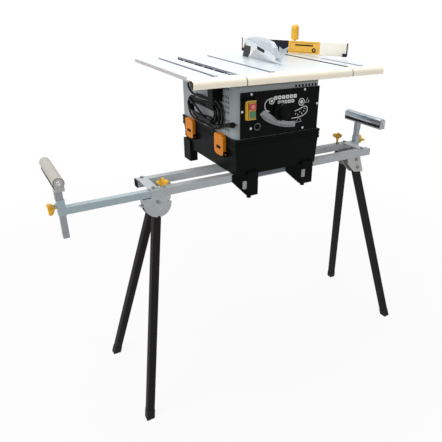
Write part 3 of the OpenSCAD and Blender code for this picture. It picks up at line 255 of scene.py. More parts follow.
def fill(tree, socket, value):
    """Links a socket's value, or sets a plain one."""
    if isinstance(value, bpy.types.NodeSocket):
        tree.links.new(value, socket)
    else:
        socket.default_value = value


def node(tree, kind, inputs=None, **settings):
    """A node with its settings, and its inputs filled or linked by name."""
    made = tree.nodes.new(kind)
    for name, value in settings.items():
        setattr(made, name, value)
    for name, value in (inputs or {}).items():
        fill(tree, made.inputs[name], value)
    return made


def maths(tree, operation, a, b=0.0, c=0.0, clamp=False):
    made = tree.nodes.new("ShaderNodeMath")
    made.operation = operation
    made.use_clamp = clamp
    for socket, value in zip(made.inputs, (a, b, c)):
        fill(tree, socket, value)
    return made.outputs[0]


def blend_colours(tree, share, a, b):
    made = tree.nodes.new("ShaderNodeMix")
    made.data_type = "RGBA"
    for socket, value in zip((made.inputs[0], made.inputs[6], made.inputs[7]), (share, a, b)):
        fill(tree, socket, value)
    return made.outputs[2]


def new_group(name, inputs, outputs):
    """An empty shader group with named sockets. Gives the tree and its two ends' sockets."""
    group = bpy.data.node_groups.new(name, "ShaderNodeTree")
    for socket, kind, value in inputs:
        made = group.interface.new_socket(name=socket, in_out="INPUT",
            socket_type="NodeSocket" + kind)
        if value is not None:
            made.default_value = value
    for socket, kind in outputs:
        group.interface.new_socket(name=socket, in_out="OUTPUT",
            socket_type="NodeSocket" + kind)
    ends = group.nodes.new("NodeGroupInput"), group.nodes.new("NodeGroupOutput")
    return group, ends[0].outputs, ends[1].inputs


print("a middle grey in linear light", [round(v, 3) for v in paint(128, 128, 128)[:3]])

# %% [markdown]
# The surface group holds what all finishes share. A slow noise blends the two tones and a fine
# one is the grain; both also move the gloss up and down a little. It could be copied into each
# material, but as a group it is built once, and each material only gives its values.

# %% The surface group
surface, given, out = new_group("surface", [("Vector", "Vector", None),
    ("Colour", "Color", (0.5, 0.5, 0.5, 1)), ("Shade", "Color", (0.4, 0.4, 0.4, 1)),
    ("Patches", "Float", 12.0), ("Patch share", "Float", 0.5), ("Grain", "Float", 900.0),
    ("Roughness", "Float", 0.5), ("Spread", "Float", 0.1)],
    [("Colour", "Color"), ("Roughness", "Float"), ("Height", "Float")])
slow = node(surface, "ShaderNodeTexNoise", {"Vector": given["Vector"],
    "Scale": given["Patches"], "Detail": 4.0, "Roughness": 0.6}).outputs["Fac"]
fine = node(surface, "ShaderNodeTexNoise", {"Vector": given["Vector"],
    "Scale": given["Grain"], "Detail": 2.0}).outputs["Fac"]
mottle = maths(surface, "MULTIPLY",
    maths(surface, "MULTIPLY_ADD", slow, 2.2, -0.6, clamp=True), given["Patch share"])
surface.links.new(blend_colours(surface, mottle, given["Colour"], given["Shade"]),
    out["Colour"])
gloss = maths(surface, "MULTIPLY", maths(surface, "SUBTRACT", slow, 0.5), given["Spread"])
grit = maths(surface, "MULTIPLY", maths(surface, "SUBTRACT", fine, 0.5),
    maths(surface, "MULTIPLY", given["Spread"], 0.6))
surface.links.new(maths(surface, "ADD", given["Roughness"],
    maths(surface, "ADD", gloss, grit)), out["Roughness"])
surface.links.new(fine, out["Height"])
print("group", surface.name, len(surface.nodes), "nodes")

# %% [markdown]
# Sawdust is never far from a saw, and it settles on what faces up. It could be scattered as
# grains, but from a step away it is only a thin pale film. So this group blends a pale colour
# over the finish where the normal points up, broken by noise, and makes it duller there.

# %% The dust group
dust, given, out = new_group("dust", [("Vector", "Vector", None),
    ("Colour", "Color", (0.5, 0.5, 0.5, 1)), ("Dust", "Color", paint(214, 206, 190)),
    ("Amount", "Float", 0.15), ("Roughness", "Float", 0.5)],
    [("Colour", "Color"), ("Roughness", "Float")])
facing = node(dust, "ShaderNodeSeparateXYZ",
    {"Vector": node(dust, "ShaderNodeNewGeometry").outputs["Normal"]}).outputs["Z"]
drift = node(dust, "ShaderNodeTexNoise", {"Vector": given["Vector"],
    "Scale": 55.0, "Detail": 5.0}).outputs["Fac"]
upward_share = maths(dust, "POWER", maths(dust, "MAXIMUM", facing, 0.0), 3.0)
film = maths(dust, "MULTIPLY", maths(dust, "MULTIPLY", upward_share, drift),
    given["Amount"], clamp=True)
dust.links.new(blend_colours(dust, film, given["Colour"], given["Dust"]), out["Colour"])
dust.links.new(maths(dust, "ADD", given["Roughness"], maths(dust, "MULTIPLY", film, 0.5)),
    out["Roughness"])
print("group", dust.name, len(dust.nodes), "nodes")

# %% [markdown]
# Rolling and brushing leave fine lines in steel and zinc. A wave texture gives lines too, but all
# alike. A noise that is stretched along one direction makes them long, thin and uneven. The
# group only puts out a height, and the material turns it into a bump.

# %% The brushing group
brushed, given, out = new_group("brushed", [("Vector", "Vector", None),
    ("Stretch", "Vector", (1.0, 1.0, 1.0)), ("Lines", "Float", 2500.0)], [("Height", "Float")])
pulled = node(brushed, "ShaderNodeVectorMath",
    {0: given["Vector"], 1: given["Stretch"]}, operation="MULTIPLY")
lines = node(brushed, "ShaderNodeTexNoise", {"Vector": pulled.outputs[0],
    "Scale": given["Lines"], "Detail": 1.0})
brushed.links.new(lines.outputs["Fac"], out["Height"])
print("group", brushed.name, len(brushed.nodes), "nodes")

# %% [markdown]
# Each material could be wired by hand, but then thirty of them would drift apart. One function
# makes a material from the groups. Values that are the same all over, such as metal or clearness,
# are set on the shader itself by their socket's name, with _ for a space.

# %% A material from the groups
finishes = {}
bump_strength = 0.6


def coated(name, colour, shade, patches=14.0, share=0.5, grain=900.0, height=0.00004,
        roughness=0.5, spread=0.12, film=0.12, stretch=None, **shader):
    """A finish: two tones, a grain or brushed lines, and a little dust on top."""
    material = bpy.data.materials.new(name)
    material.use_nodes = True
    tree = material.node_tree
    tree.nodes.clear()
    place = node(tree, "ShaderNodeTexCoord").outputs["Object"]
    coat = node(tree, "ShaderNodeGroup", node_tree=surface)
    for socket, value in (("Vector", place), ("Colour", colour), ("Shade", shade),
            ("Patches", patches), ("Patch share", share), ("Grain", grain),
            ("Roughness", roughness), ("Spread", spread)):
        fill(tree, coat.inputs[socket], value)
    top = node(tree, "ShaderNodeGroup", node_tree=dust)
    for socket, value in (("Amount", film), ("Vector", place),
            ("Colour", coat.outputs["Colour"]), ("Roughness", coat.outputs["Roughness"])):
        fill(tree, top.inputs[socket], value)
    relief = coat.outputs["Height"]
    if stretch:
        lined = node(tree, "ShaderNodeGroup", node_tree=brushed)
        fill(tree, lined.inputs["Vector"], place)
        fill(tree, lined.inputs["Stretch"], stretch)
        relief = lined.outputs["Height"]
    bump = node(tree, "ShaderNodeBump", {"Height": relief,
        "Strength": bump_strength, "Distance": height})
    shade_node = node(tree, "ShaderNodeBsdfPrincipled", {"Base Color": top.outputs["Colour"],
        "Roughness": top.outputs["Roughness"], "Normal": bump.outputs["Normal"]})
    for socket, value in shader.items():
        shade_node.inputs[socket.replace("_", " ")].default_value = value
    output = node(tree, "ShaderNodeOutputMaterial")
    tree.links.new(shade_node.outputs["BSDF"], output.inputs["Surface"])
    finishes[name] = material
    return material


print("bumps at", bump_strength, "of their height")

# %% [markdown]
# ### The stand
# The rails are silver paint, the arms bluish zinc and the brackets bare zinc sheet with its
# cloudy crystals. The legs are black powder coat, with a fine pebbled grain. Deep blacks get a
# low specular level, because a white room in a shiny black surface would turn it grey.

# %% The stand's finishes
coated("frame_grey", paint(174, 180, 182), paint(156, 163, 166), roughness=0.4, spread=0.1,
    stretch=(0.04, 1, 1), height=0.00003, Metallic=0.1)
coated("arm_zinc", paint(158, 173, 179), paint(141, 157, 163), stretch=(0.04, 1, 1),
    height=0.00003, roughness=0.36, spread=0.1, Metallic=0.3, film=0.06)
coated("zinc", paint(174, 188, 200), paint(150, 164, 176), patches=60.0, share=0.7,
    roughness=0.34, height=0.00003, Metallic=0.4)
coated("zinc_sheet", paint(149, 154, 156), paint(128, 134, 137), patches=70.0, share=0.8,
    roughness=0.34, height=0.00003, Metallic=0.7)
coated("warm_grey", paint(170, 170, 166), paint(156, 156, 153), patches=40.0, roughness=0.4,
    Metallic=0.3)
coated("bolt_grey", paint(120, 123, 126), paint(100, 103, 106), roughness=0.4, Metallic=0.6)
coated("leg_black", paint(38, 34, 34), paint(27, 25, 25), grain=1500.0, height=0.00008,
    roughness=0.55, film=0.01, Specular_IOR_Level=0.05)
coated("rubber", paint(22, 22, 23), paint(12, 12, 13), grain=700.0, height=0.0001,
    roughness=0.72, film=0.05, Specular_IOR_Level=0.2)
coated("roller_steel", paint(166, 174, 182), paint(134, 144, 154), stretch=(1, 1, 0.03),
    roughness=0.24, height=0.00002, Metallic=0.85, film=0.04)
coated("roller_grey", paint(162, 158, 149), paint(153, 150, 142), patches=5.0,
    stretch=(1, 0.01, 1), roughness=0.42, height=0.000002, spread=0.04, Metallic=0.15, film=0.0)
coated("yellow_plastic", paint(226, 172, 34), paint(214, 156, 26), grain=1200.0,
    roughness=0.36, film=0.05)
print("finishes", len(finishes))

# %% [markdown]
# ### The saw
# Base and panel are moulded in black plastic with a leather-like grain, and the cabinet is
# painted sheet. The guard's clear plastic could be real glass with refraction, but its walls are
# so thin that see-through alpha looks the same and is quicker.

# %% The saw's finishes
coated("black_plastic", paint(8, 10, 10), paint(3, 5, 5), grain=1100.0, height=0.00012,
    roughness=0.46, film=0.008, Specular_IOR_Level=0.045)
coated("orange_plastic", paint(204, 122, 24), paint(190, 108, 18), grain=1200.0,
    roughness=0.42, film=0.01, Specular_IOR_Level=0.15)
coated("cabinet_paint", paint(139, 146, 148), paint(128, 135, 139), patches=9.0, grain=1300.0,
    height=0.00006, roughness=0.44, film=0.05)
coated("switch_yellow", paint(200, 166, 60), paint(188, 152, 50), grain=1200.0,
    roughness=0.35, film=0.03)
coated("red_plastic", paint(196, 58, 58), paint(182, 48, 48), grain=1200.0, roughness=0.33,
    film=0.02)
coated("green_plastic", paint(62, 118, 76), paint(52, 104, 64), grain=1200.0, roughness=0.33,
    film=0.02)
coated("blade_steel", paint(196, 198, 200), paint(176, 178, 182), stretch=(1, 0.4, 1),
    roughness=0.28, height=0.00002, Metallic=0.95, film=0.02)
coated("motor_alloy", paint(168, 170, 172), paint(150, 152, 155), grain=600.0, height=0.0001,
    roughness=0.5, Metallic=0.7)
coated("knife_steel", paint(34, 36, 40), paint(26, 28, 31), stretch=(1, 0.3, 1), roughness=0.4,
    Metallic=0.4, film=0.02)
coated("clear_plastic", paint(222, 228, 234), paint(206, 214, 220), patches=50.0, grain=300.0,
    height=0.00003, roughness=0.14, film=0.04, Alpha=0.46)
coated("clear_white", paint(232, 235, 240), paint(216, 221, 228), patches=60.0, roughness=0.2,
    film=0.03, Alpha=0.72)
coated("fence_white", paint(238, 234, 222), paint(230, 225, 211), patches=16.0, grain=1400.0,
    roughness=0.4, film=0.05)
coated("cord_black", paint(9, 11, 12), paint(4, 6, 6), grain=1600.0, height=0.00005,
    roughness=0.34, film=0.01, Specular_IOR_Level=0.09)
table_finish = coated("table_plate", paint(208, 215, 219), paint(196, 204, 209), patches=10.0,
    stretch=(1, 0.03, 1), height=0.00002, roughness=0.34, film=0.05)
print("finishes", len(finishes))

# %% [markdown]
# ### Small areas
# Inks, labels, screw heads, shaded edges and dark gaps are small. Each could have a texture of
# its own, but nobody would see it. A plain two-tone finish from the same function is enough.

# %% Finishes of the small parts
coated("ink_white", paint(226, 228, 228), paint(214, 216, 216), roughness=0.5, film=0.02)
coated("ink_grey", paint(150, 154, 156), paint(138, 142, 144), roughness=0.5, film=0.02)
# White for screws and nuts. The same finish is also painted light that shows through slots in the
# left gap.
coated("screw_white_and_painted_light", paint(226, 228, 228), paint(206, 208, 210), roughness=0.35, film=0.05,
    Metallic=0.2)
# Dark steel for real parts. The same finish is also painted shade in the right gap, on the right
# table's edge, on the back right bracket and on the front rail under the base.
coated("dark_steel_and_shade", paint(96, 99, 106), paint(78, 82, 88), patches=50.0, roughness=0.4,
    Metallic=0.5)
coated("joint_brown", paint(52, 42, 38), paint(40, 33, 30), roughness=0.6, film=0.0,
    Specular_IOR_Level=0.1)
coated("deep_dark", paint(22, 24, 26), paint(14, 15, 17), roughness=0.8, film=0.0,
    Specular_IOR_Level=0.05)
coated("label_yellow", paint(232, 178, 62), paint(220, 164, 50), patches=30.0, roughness=0.4,
    film=0.02)
coated("label_black", paint(34, 36, 46), paint(26, 28, 36), roughness=0.4, film=0.02,
    Specular_IOR_Level=0.1)
# Steel grey used as painted shade in the mitre grooves and on the main table's edge down in the left
# gap.
coated("shaded_steel", paint(138, 140, 152), paint(120, 122, 134), roughness=0.5)
coated("edge_grey", paint(176, 172, 170), paint(160, 157, 156), roughness=0.5)
print("finishes", len(finishes))

# %% [markdown]
# ### Tables: two finishes on one sheet
# A table is light ground metal, but its rolled front rail is enamelled in cream. The solid could
# be cut in two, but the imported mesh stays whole. So the border is a step along Y in the material,
# with a thin line at the joint of rail and plate. Metal shows only behind that line, so the same
# mask also drives the metallic value.

# %% The enamel group
joint_half = 0.0005
enamel, given, out = new_group("enamelled_front", [("Vector", "Vector", None),
    ("Border", "Float", 0.0), ("Plate", "Color", (0.8, 0.8, 0.8, 1)),
    ("Enamel", "Color", paint(251, 241, 221)), ("Plate metal", "Float", 0.4)],
    [("Colour", "Color"), ("Metallic", "Float")])
across = node(enamel, "ShaderNodeSeparateXYZ", {"Vector": given["Vector"]}).outputs["Y"]
on_plate = maths(enamel, "GREATER_THAN", across, given["Border"])
from_border = maths(enamel, "ABSOLUTE", maths(enamel, "SUBTRACT", across, given["Border"]))
joint = maths(enamel, "MULTIPLY", maths(enamel, "LESS_THAN", from_border, joint_half), 0.55)
joined = blend_colours(enamel, on_plate, given["Enamel"], given["Plate"])
enamel.links.new(blend_colours(enamel, joint, joined, paint(120, 118, 112)), out["Colour"])
enamel.links.new(maths(enamel, "MULTIPLY", on_plate, given["Plate metal"]), out["Metallic"])
print("group", enamel.name, len(enamel.nodes), "nodes")

# %% [markdown]
# The group goes between the table's own finish and its shader. A second material on the rail
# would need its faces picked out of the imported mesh, and this needs only one number: the border
# lies 115 mm in front of the insert round the blade, on all three tables.

# %% The tables' finish
tree = table_finish.node_tree
shaded = next(n for n in tree.nodes if n.type == "BSDF_PRINCIPLED")
place = next(n for n in tree.nodes if n.type == "TEX_COORD").outputs["Object"]
plain_colour = shaded.inputs["Base Color"].links[0].from_socket
two_tone = node(tree, "ShaderNodeGroup", {"Plate": plain_colour, "Vector": place},
    node_tree=enamel)
insert_to_border = 0.115
two_tone.inputs["Border"].default_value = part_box("table_insert")[0].y - insert_to_border
tree.links.new(two_tone.outputs["Colour"], shaded.inputs["Base Color"])
tree.links.new(two_tone.outputs["Metallic"], shaded.inputs["Metallic"])
print("border at y", round(two_tone.inputs["Border"].default_value, 3))

# %% [markdown]
# ### On the sub-parts
# Every imported solid takes the finish of its slot. A slot is shared by parts that really differ:
# one roller is duller than the other, and bolts, arms and two brackets have their own metal. Those
# could be sub-slots of the record. Here they simply get another finish afterwards. Two more carry
# painted shade: the back right bracket is painted dark for the shade it stands in, and the rails'
# end caps are painted deep dark for the shade inside the open tube ends.

# %% Finishes on the solids
slots = {sub_part["node"]: sub_part["material_slot"] for sub_part in frame["record"]["subparts"]}
for part, slot in slots.items():
    nodes[part].data.materials.clear()
    nodes[part].data.materials.append(finishes[slot])
# back_right_bracket's dark finish and the deep dark on rail_end_caps are painted shade, not their
# own colour.
own_finishes_and_shade = {"stand_bolts": "bolt_grey", "left_roller": "roller_grey",
    "left_arm": "arm_zinc", "right_arm": "arm_zinc", "left_roller_bracket": "warm_grey",
    "front_right_bracket": "warm_grey", "back_right_bracket": "dark_steel_and_shade",
    "rail_end_caps": "deep_dark"}
for part, finish in own_finishes_and_shade.items():
    nodes[part].data.materials[0] = finishes[finish]
print("finished", len(slots), "sub-parts,", len(own_finishes_and_shade), "with a finish of their own")

# %% [markdown]
# ## Making meshes
# Most small pieces here are one of three things: a profile that is turned, a shape that is pushed
# out, or a tube that follows a path. Each could start from one of Blender's own primitives, but a
# helper that writes the mesh gives the exact size at once, with closed ends.
#
# `piece` gives a finished mesh its material and body, so nothing is left without them. `dress` does
# the same for a piece that belongs to a sub-part, and takes the body from it.

# %% Finished pieces
touching = 1e-6


def piece(name, mesh, finish, body, replaces=()):
    """A finished piece: its mesh is in the frame's metres and its object is at the origin."""
    made = bpy.data.objects.new(name, mesh)
    bpy.context.scene.collection.objects.link(made)
    made.data.materials.clear()
    made.data.materials.append(finishes[finish])
    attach(made, body)
    if replaces:
        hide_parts(*replaces)
    print(name, len(mesh.polygons), "faces on", body)
    return made


def mesh_of(bm, name, smooth=True, sharp_angle=35):
    """Joins what touches, turns the faces outwards and keeps true corners sharp."""
    bmesh.ops.remove_doubles(bm, verts=bm.verts, dist=touching)
    bmesh.ops.recalc_face_normals(bm, faces=bm.faces)
    sharp = math.radians(sharp_angle)
    for face in bm.faces:
        face.smooth = smooth
    for edge in bm.edges:
        edge.smooth = len(edge.link_faces) == 2 and edge.calc_face_angle(0) < sharp
    mesh = bpy.data.meshes.new(name)
    bm.to_mesh(mesh)
    bm.free()
    return mesh


def body_of(part):
    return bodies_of(nodes[part])[0]


def dress(name, bm, part, finish, slot=None, replaces=(), **looks):
    """A piece that moves with a sub-part. Its slot argument is not used."""
    return piece(name, mesh_of(bm, name, **looks), finish, body_of(part),
        replaces)


print("helpers for pieces on", len(slots), "sub-parts")

# %% [markdown]
# A turned shape is a row of rings with a skin between them. A Screw modifier could turn a profile
# as well. The helper can also bend its circle by a rule, which makes hexagons, flutes and
# three-armed knobs from the same few lines.

# %% Rings and turned shapes
def rings_to_faces(bm, rings, caps=True):
    """Skins a row of closed rings, each a list of points."""
    made = [[bm.verts.new(p) for p in ring] for ring in rings]
    for low, high in zip(made, made[1:]):
        for i in range(len(low)):
            j = (i + 1) % len(low)
            bm.faces.new((low[i], low[j], high[j], high[i]))
    if caps:
        bm.faces.new(made[0][::-1])
        bm.faces.new(made[-1])


def turned(bm, profile, origin, axis, sides=32, ring=None):
    """A turned shape: profile is (radius, height) pairs in mm along axis from origin.
    ring may bend the circle: it takes an angle and gives a factor for the radius."""
    axis = Vector(axis).normalized()
    across = axis.orthogonal().normalized()
    beside = axis.cross(across)
    rings = []
    for radius, height in profile:
        points = []
        for i in range(sides):
            a = 2 * math.pi * i / sides
            r = max(radius, 0.01) * (ring(a, radius, height) if ring else 1)
            out = across * math.cos(a) + beside * math.sin(a)
            points.append(origin + (axis * height + out * r) / 1000)
        rings.append(points)
    rings_to_faces(bm, rings)


print("rings may have any number of sides")

# %% [markdown]
# ## Clamp knobs
# Four yellow knobs hold the arms and the posts. A knob is one outline swept up: three long arms
# round a hub, with tips that rise past its dished middle. It could be sculpted from a block. In
# polar form the outline is a rule of the angle only, so a turned shape with that rule makes all
# four. Each takes its place and its length from the plain knob that it stands for.

# %% Clamp knobs
up = (0, 0, 1)
knob_radius = 22
knob_head = 17
knob_neck = 7.5
arm_half_angle = math.radians(42)
round_inside, arms_grow_over = 8, 7
knob_profile = [(7, -knob_head), (11, -16.6), (16, -14), (20, -10.5), (knob_radius - 0.4, -7),
    (knob_radius, -4), (knob_radius - 0.5, -1.2), (knob_radius - 2.5, 0),
    (knob_radius - 5, -0.6), (12, -4.4), (8, -6), (3, -6.4)]


def three_arms(angle, radius):
    """A factor for the radius that leaves three arms and fades to a circle near the middle."""
    off = abs((angle + math.pi / 3) % (2 * math.pi / 3) - math.pi / 3)
    neck = knob_neck / knob_radius
    arm = neck + (1 - neck) * (1 - ease(off / arm_half_angle))
    share = min(max((radius - round_inside) / arms_grow_over, 0), 1)
    return 1 + (arm - 1) * share


def star_knob(name, axis, arm_towards):
    low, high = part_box(name)
    axis = Vector(axis)
    half = abs((high - low).dot(axis)) / 2
    tip = (low + high) / 2 + axis * half
    across = axis.orthogonal().normalized()
    arm_towards = Vector(arm_towards)
    begin = math.atan2(arm_towards.dot(axis.cross(across)), arm_towards.dot(across))
    bm = bmesh.new()
    turned(bm, knob_profile, tip, axis, 96, lambda a, radius, _: three_arms(a - begin, radius))
    length = half * 2000
    turned(bm, [(4, -length), (4, -knob_head - 9), (5.6, -knob_head - 8.6),
        (5.6, -knob_head - 4), (7.4, -knob_head), (7.4, -knob_head + 2)], tip, axis, 24)
    dress(name + "_star", bm, name, "yellow_plastic", replaces=(name,), sharp_angle=50)


star_knob("front_rail_knob", up, (0.35, 0.94, 0))
star_knob("back_rail_knob", up, (0.75, 0.66, 0))
star_knob("left_post_knob", (-1, 0, 0), (0, -0.3, -0.95))
star_knob("right_post_knob", (1, 0, 0), (0, 0.6, 0.8))

# %% [markdown]
# ## Flat pieces
# Plates, strips and blocks are outlines that are pushed out. An outline is drawn flat, in (u, v),
# and a small placing function says where (u, v, w) is on the saw. So one helper serves the
# front panel, the tables and the slanted fence board alike.

# %% Outlines
corner_steps = 5


def slab(bm, outline, low, high, place):
    """An outline of (u, v) points pushed from low to high."""
    rings_to_faces(bm, [[place(u, v, w) for u, v in outline] for w in (low, high)])


def box_outline(u0, u1, v0, v1, corner=0):
    """A rectangle, with round corners where a corner radius is given."""
    if corner <= 0:
        return [(u0, v0), (u1, v0), (u1, v1), (u0, v1)]
    outline = []
    for cu, cv, begin in ((u1 - corner, v0 + corner, -90), (u1 - corner, v1 - corner, 0),
            (u0 + corner, v1 - corner, 90), (u0 + corner, v0 + corner, 180)):
        for i in range(corner_steps + 1):
            a = math.radians(begin + 90 * i / corner_steps)
            outline.append((cu + corner * math.cos(a), cv + corner * math.sin(a)))
    return outline


print("an outline with round corners has", len(box_outline(0, 9, 0, 9, 1)), "points")

# %% [markdown]
# ## Prints on the front panel
# The panel's prints are a crescent scale for the blade's tilt, a curved slot with dots, a few
# round signs and two rows of plain squares. They carry no words. They could be an image on the
# panel, but thin flat pieces just in front of it stay sharp from close by. Outlines are drawn as
# (x, z) in millimetres and pushed out towards the user.

# %% Print helpers
panel_face = -88
ink = 0.35


def on_panel(u, v, w):
    return at(u, panel_face - w, v)


def band(bm, inner, outer, place=on_panel, low=0.0, high=ink, closed=False):
    """A strip between two rows of points, as one closed skin."""
    rings = [[place(*a, low), place(*b, low), place(*b, high), place(*a, high)]
        for a, b in zip(inner, outer)]
    if closed:
        rings.append(rings[0])
    rings_to_faces(bm, rings, caps=not closed)


def ring_band(bm, u, v, inner, outer, sides=28, place=on_panel, low=0.0, high=ink):
    """A flat ring."""
    loops = [[(u + radius * math.cos(2 * math.pi * i / sides),
        v + radius * math.sin(2 * math.pi * i / sides)) for i in range(sides)]
        for radius in (inner, outer)]
    band(bm, *loops, place, low, high, True)


def line_along(bm, points, width, place=on_panel, low=0.0, high=ink, closed=False):
    """A line of even width along (u, v) points."""
    sides = []
    count = len(points)
    for i in range(count):
        a = Vector(points[i - 1] if closed or i else points[i])
        b = Vector(points[(i + 1) % count] if closed or i < count - 1 else points[i])
        across = (b - a).orthogonal().normalized() * width / 2
        sides.append((tuple(Vector(points[i]) - across), tuple(Vector(points[i]) + across)))
    band(bm, [a for a, _ in sides], [b for _, b in sides], place, low, high, closed)


def curve_through(points, per_span=6):
    return [(p.x, p.y) for p in smooth_path([(u, v, 0) for u, v in points], per_span)]


print("ink is", ink, "mm thick")

# %% [markdown]
# The tilt scale is a crescent: two smooth curves that meet at its left tip, with a band between
# them. Its marks could be set one by one. They follow from the same two curves instead, as short
# lines from the outer edge towards the inner one, and every fifth is longer.

# %% Tilt scale
outer_edge = curve_through([(-81, 1004), (-62, 984), (-31, 967), (11, 953), (40, 948),
    (66, 946)], 8)
inner_edge = curve_through([(-81, 1005), (-60, 1017), (-40, 1001), (-8, 982), (28, 970),
    (68, 966)], 8)
inner_edge[0] = (-80.5, 1005.5)
bm = bmesh.new()
band(bm, outer_edge, inner_edge)
dress("tilt_scale", bm, "front_panel", "ink_grey", smooth=False)

over_ink = ink + 0.15
mark_width, mark_begin = 1.1, 0.08
bm = bmesh.new()
for i in range(4, len(outer_edge) - 2):
    a, b = Vector(outer_edge[i]), Vector(inner_edge[i])
    reach = 0.42 if i % 5 == 0 else 0.24
    line_along(bm, [tuple(a.lerp(b, mark_begin)), tuple(a.lerp(b, mark_begin + reach))],
        mark_width, low=ink, high=over_ink)
dress("tilt_marks", bm, "front_panel", "deep_dark", smooth=False)
print("tilt scale with", len(outer_edge) - 6, "marks")

# %% [markdown]
# White signs stand round the wheel: the slot's curved outline with its dots, two round dials, two
# triangles and two rows of squares, all in one piece because they are one print. Dark marks in
# the squares lie on top of the white ink, so they need no holes in it.

# %% Signs
sign_line, triangle_line = 2.4, 1.8
slot_left = curve_through([(-38, 1054), (-56, 1046), (-63, 1030), (-56, 1016), (-44, 1010)], 6)
slot_right = curve_through([(62, 1001), (84, 1007), (104, 1014), (114, 1010), (116, 999),
    (109, 988), (92, 981), (72, 978), (50, 977)], 5)
slot_dots = ((66, 991), (76, 987), (84, 996), (93, 990), (101, 998), (104, 1006))
upper_row, upper_v = range(-20, 74, 16), 1053
lower_row, lower_v = range(-5, 56, 14), 1037
bm = bmesh.new()
line_along(bm, slot_left, sign_line)
line_along(bm, slot_right, sign_line)
for u, v, radius in ((-35, 1044, 11), (89, 1030, 13)):
    ring_band(bm, u, v, radius - 2.6, radius)
    ring_band(bm, u, v, 0.5, radius * 0.42)
for u, v in slot_dots:
    ring_band(bm, u, v, 0.3, 2.1, 12)
for u in upper_row:
    slab(bm, box_outline(u - 6.5, u + 6.5, upper_v - 6, upper_v + 6, 2.5), 0, ink, on_panel)
for u in lower_row:
    slab(bm, box_outline(u - 5.6, u + 5.6, lower_v - 5.5, lower_v + 5.5, 2.2), 0, ink, on_panel)
line_along(bm, [(70, 960), (92, 962), (82, 980)], triangle_line, closed=True)
line_along(bm, [(106, 1026), (122, 1027), (114, 1041)], triangle_line, closed=True)
dress("panel_signs", bm, "front_panel", "ink_white", smooth=False)

bm = bmesh.new()
for u in upper_row:
    ring_band(bm, u, upper_v, 0.3, 2.6 if u % 3 else 1.8, 12, low=ink, high=over_ink)
for u in lower_row:
    ring_band(bm, u, lower_v, 1.2, 2.6, 12, low=ink, high=over_ink)
dress("sign_marks", bm, "front_panel", "deep_dark", smooth=False)

# %% [markdown]
# ## Repeated small parts
# Screws, nuts and vents come in sets. An array could repeat them, but they don't stand in even
# rows, and each screw stops at another angle. So one Geometry Nodes tree serves them all. It puts
# a shape on every vertex of a cloud of places, stands it up along that place's own direction and
# gives it a random spin from a fixed seed.

# %% The copies tree
copies = bpy.data.node_groups.new("copies", "GeometryNodeTree")
for socket, kind in (("Places", "Geometry"), ("Shape", "Object"), ("Finish", "Material"),
        ("Seed", "Int"), ("Spin", "Float")):
    copies.interface.new_socket(name=socket, in_out="INPUT", socket_type="NodeSocket" + kind)
copies.interface.new_socket(name="Copies", in_out="OUTPUT", socket_type="NodeSocketGeometry")
given = copies.nodes.new("NodeGroupInput").outputs
shape = node(copies, "GeometryNodeObjectInfo", {"Object": given["Shape"]}).outputs["Geometry"]
stored = node(copies, "GeometryNodeInputNamedAttribute", {"Name": "facing"},
    data_type="FLOAT_VECTOR")
upright = node(copies, "FunctionNodeAlignRotationToVector",
    {"Vector": stored.outputs["Attribute"]}, axis="Z")
spin = node(copies, "FunctionNodeRandomValue", {3: given["Spin"], "Seed": given["Seed"]},
    data_type="FLOAT")
about = node(copies, "FunctionNodeAxisAngleToRotation",
    {"Axis": (0, 0, 1), "Angle": spin.outputs[1]})
spun = node(copies, "FunctionNodeRotateRotation", {"Rotation": upright.outputs["Rotation"],
    "Rotate By": about.outputs["Rotation"]}, rotation_space="LOCAL")
placed = node(copies, "GeometryNodeInstanceOnPoints", {"Points": given["Places"],
    "Instance": shape, "Rotation": spun.outputs["Rotation"]})
real = node(copies, "GeometryNodeRealizeInstances", {"Geometry": placed.outputs["Instances"]})
painted = node(copies, "GeometryNodeSetMaterial", {"Geometry": real.outputs["Geometry"],
    "Material": given["Finish"]})
copies.links.new(painted.outputs["Geometry"],
    copies.nodes.new("NodeGroupOutput").inputs["Copies"])
print("copies tree", len(copies.nodes), "nodes")

# %% [markdown]
# A modifier on the cloud runs the tree. Its inputs are set by their identifiers, because the
# modifier doesn't know their names. The evaluated result is taken as plain mesh, so each set
# becomes one piece and nothing depends on the modifier any more.

# %% Copies on a sub-part
copy_seed = 7


def copied(name, shape_mesh, places, facing, part, finish, spin=2 * math.pi,
        replaces=()):
    """Copies of a small mesh, drawn round its own origin and standing on Z, at places in mm."""
    cloud = bpy.data.meshes.new(name + "_places")
    cloud.from_pydata([at(*p) for p in places], [], [])
    attribute = cloud.attributes.new("facing", "FLOAT_VECTOR", "POINT")
    one_for_all = isinstance(facing[0], (int, float))
    for i in range(len(places)):
        attribute.data[i].vector = facing if one_for_all else facing[i]
    source = bpy.data.objects.new(name + "_shape", shape_mesh)
    holder = bpy.data.objects.new(name + "_holder", cloud)
    for made in (source, holder):
        bpy.context.scene.collection.objects.link(made)
    modifier = holder.modifiers.new("copies", "NODES")
    modifier.node_group = copies
    values = {"Shape": source, "Finish": finishes[finish], "Seed": copy_seed, "Spin": spin}
    for item in copies.interface.items_tree:
        if item.in_out == "INPUT" and item.name in values:
            modifier[item.identifier] = values[item.name]
    seen = holder.evaluated_get(bpy.context.evaluated_depsgraph_get())
    mesh = bpy.data.meshes.new_from_object(seen)
    for made in (source, holder):
        bpy.data.objects.remove(made)
    return piece(name, mesh, finish, body_of(part), replaces)


print("each copy gets its own spin, from seed", copy_seed)

# %% [markdown]
# ## Reset ring and panel screws
# A steel ring frames the reset button, and six white screws hold the panel. A bump could draw the
# screws' sockets, but it would stay flat from the side. So a pan head with a socket is turned
# once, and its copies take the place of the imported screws, each with its own turn.

# %% Reset ring and panel screws
def screw_mesh(radius, height):
    bm = bmesh.new()
    turned(bm, [(radius, 0), (radius, height * 0.45), (radius * 0.88, height * 0.8),
        (radius * 0.62, height), (radius * 0.45, height), (radius * 0.44, height * 0.3)],
        Vector(), up, 24)
    return mesh_of(bm, "screw", sharp_angle=50)


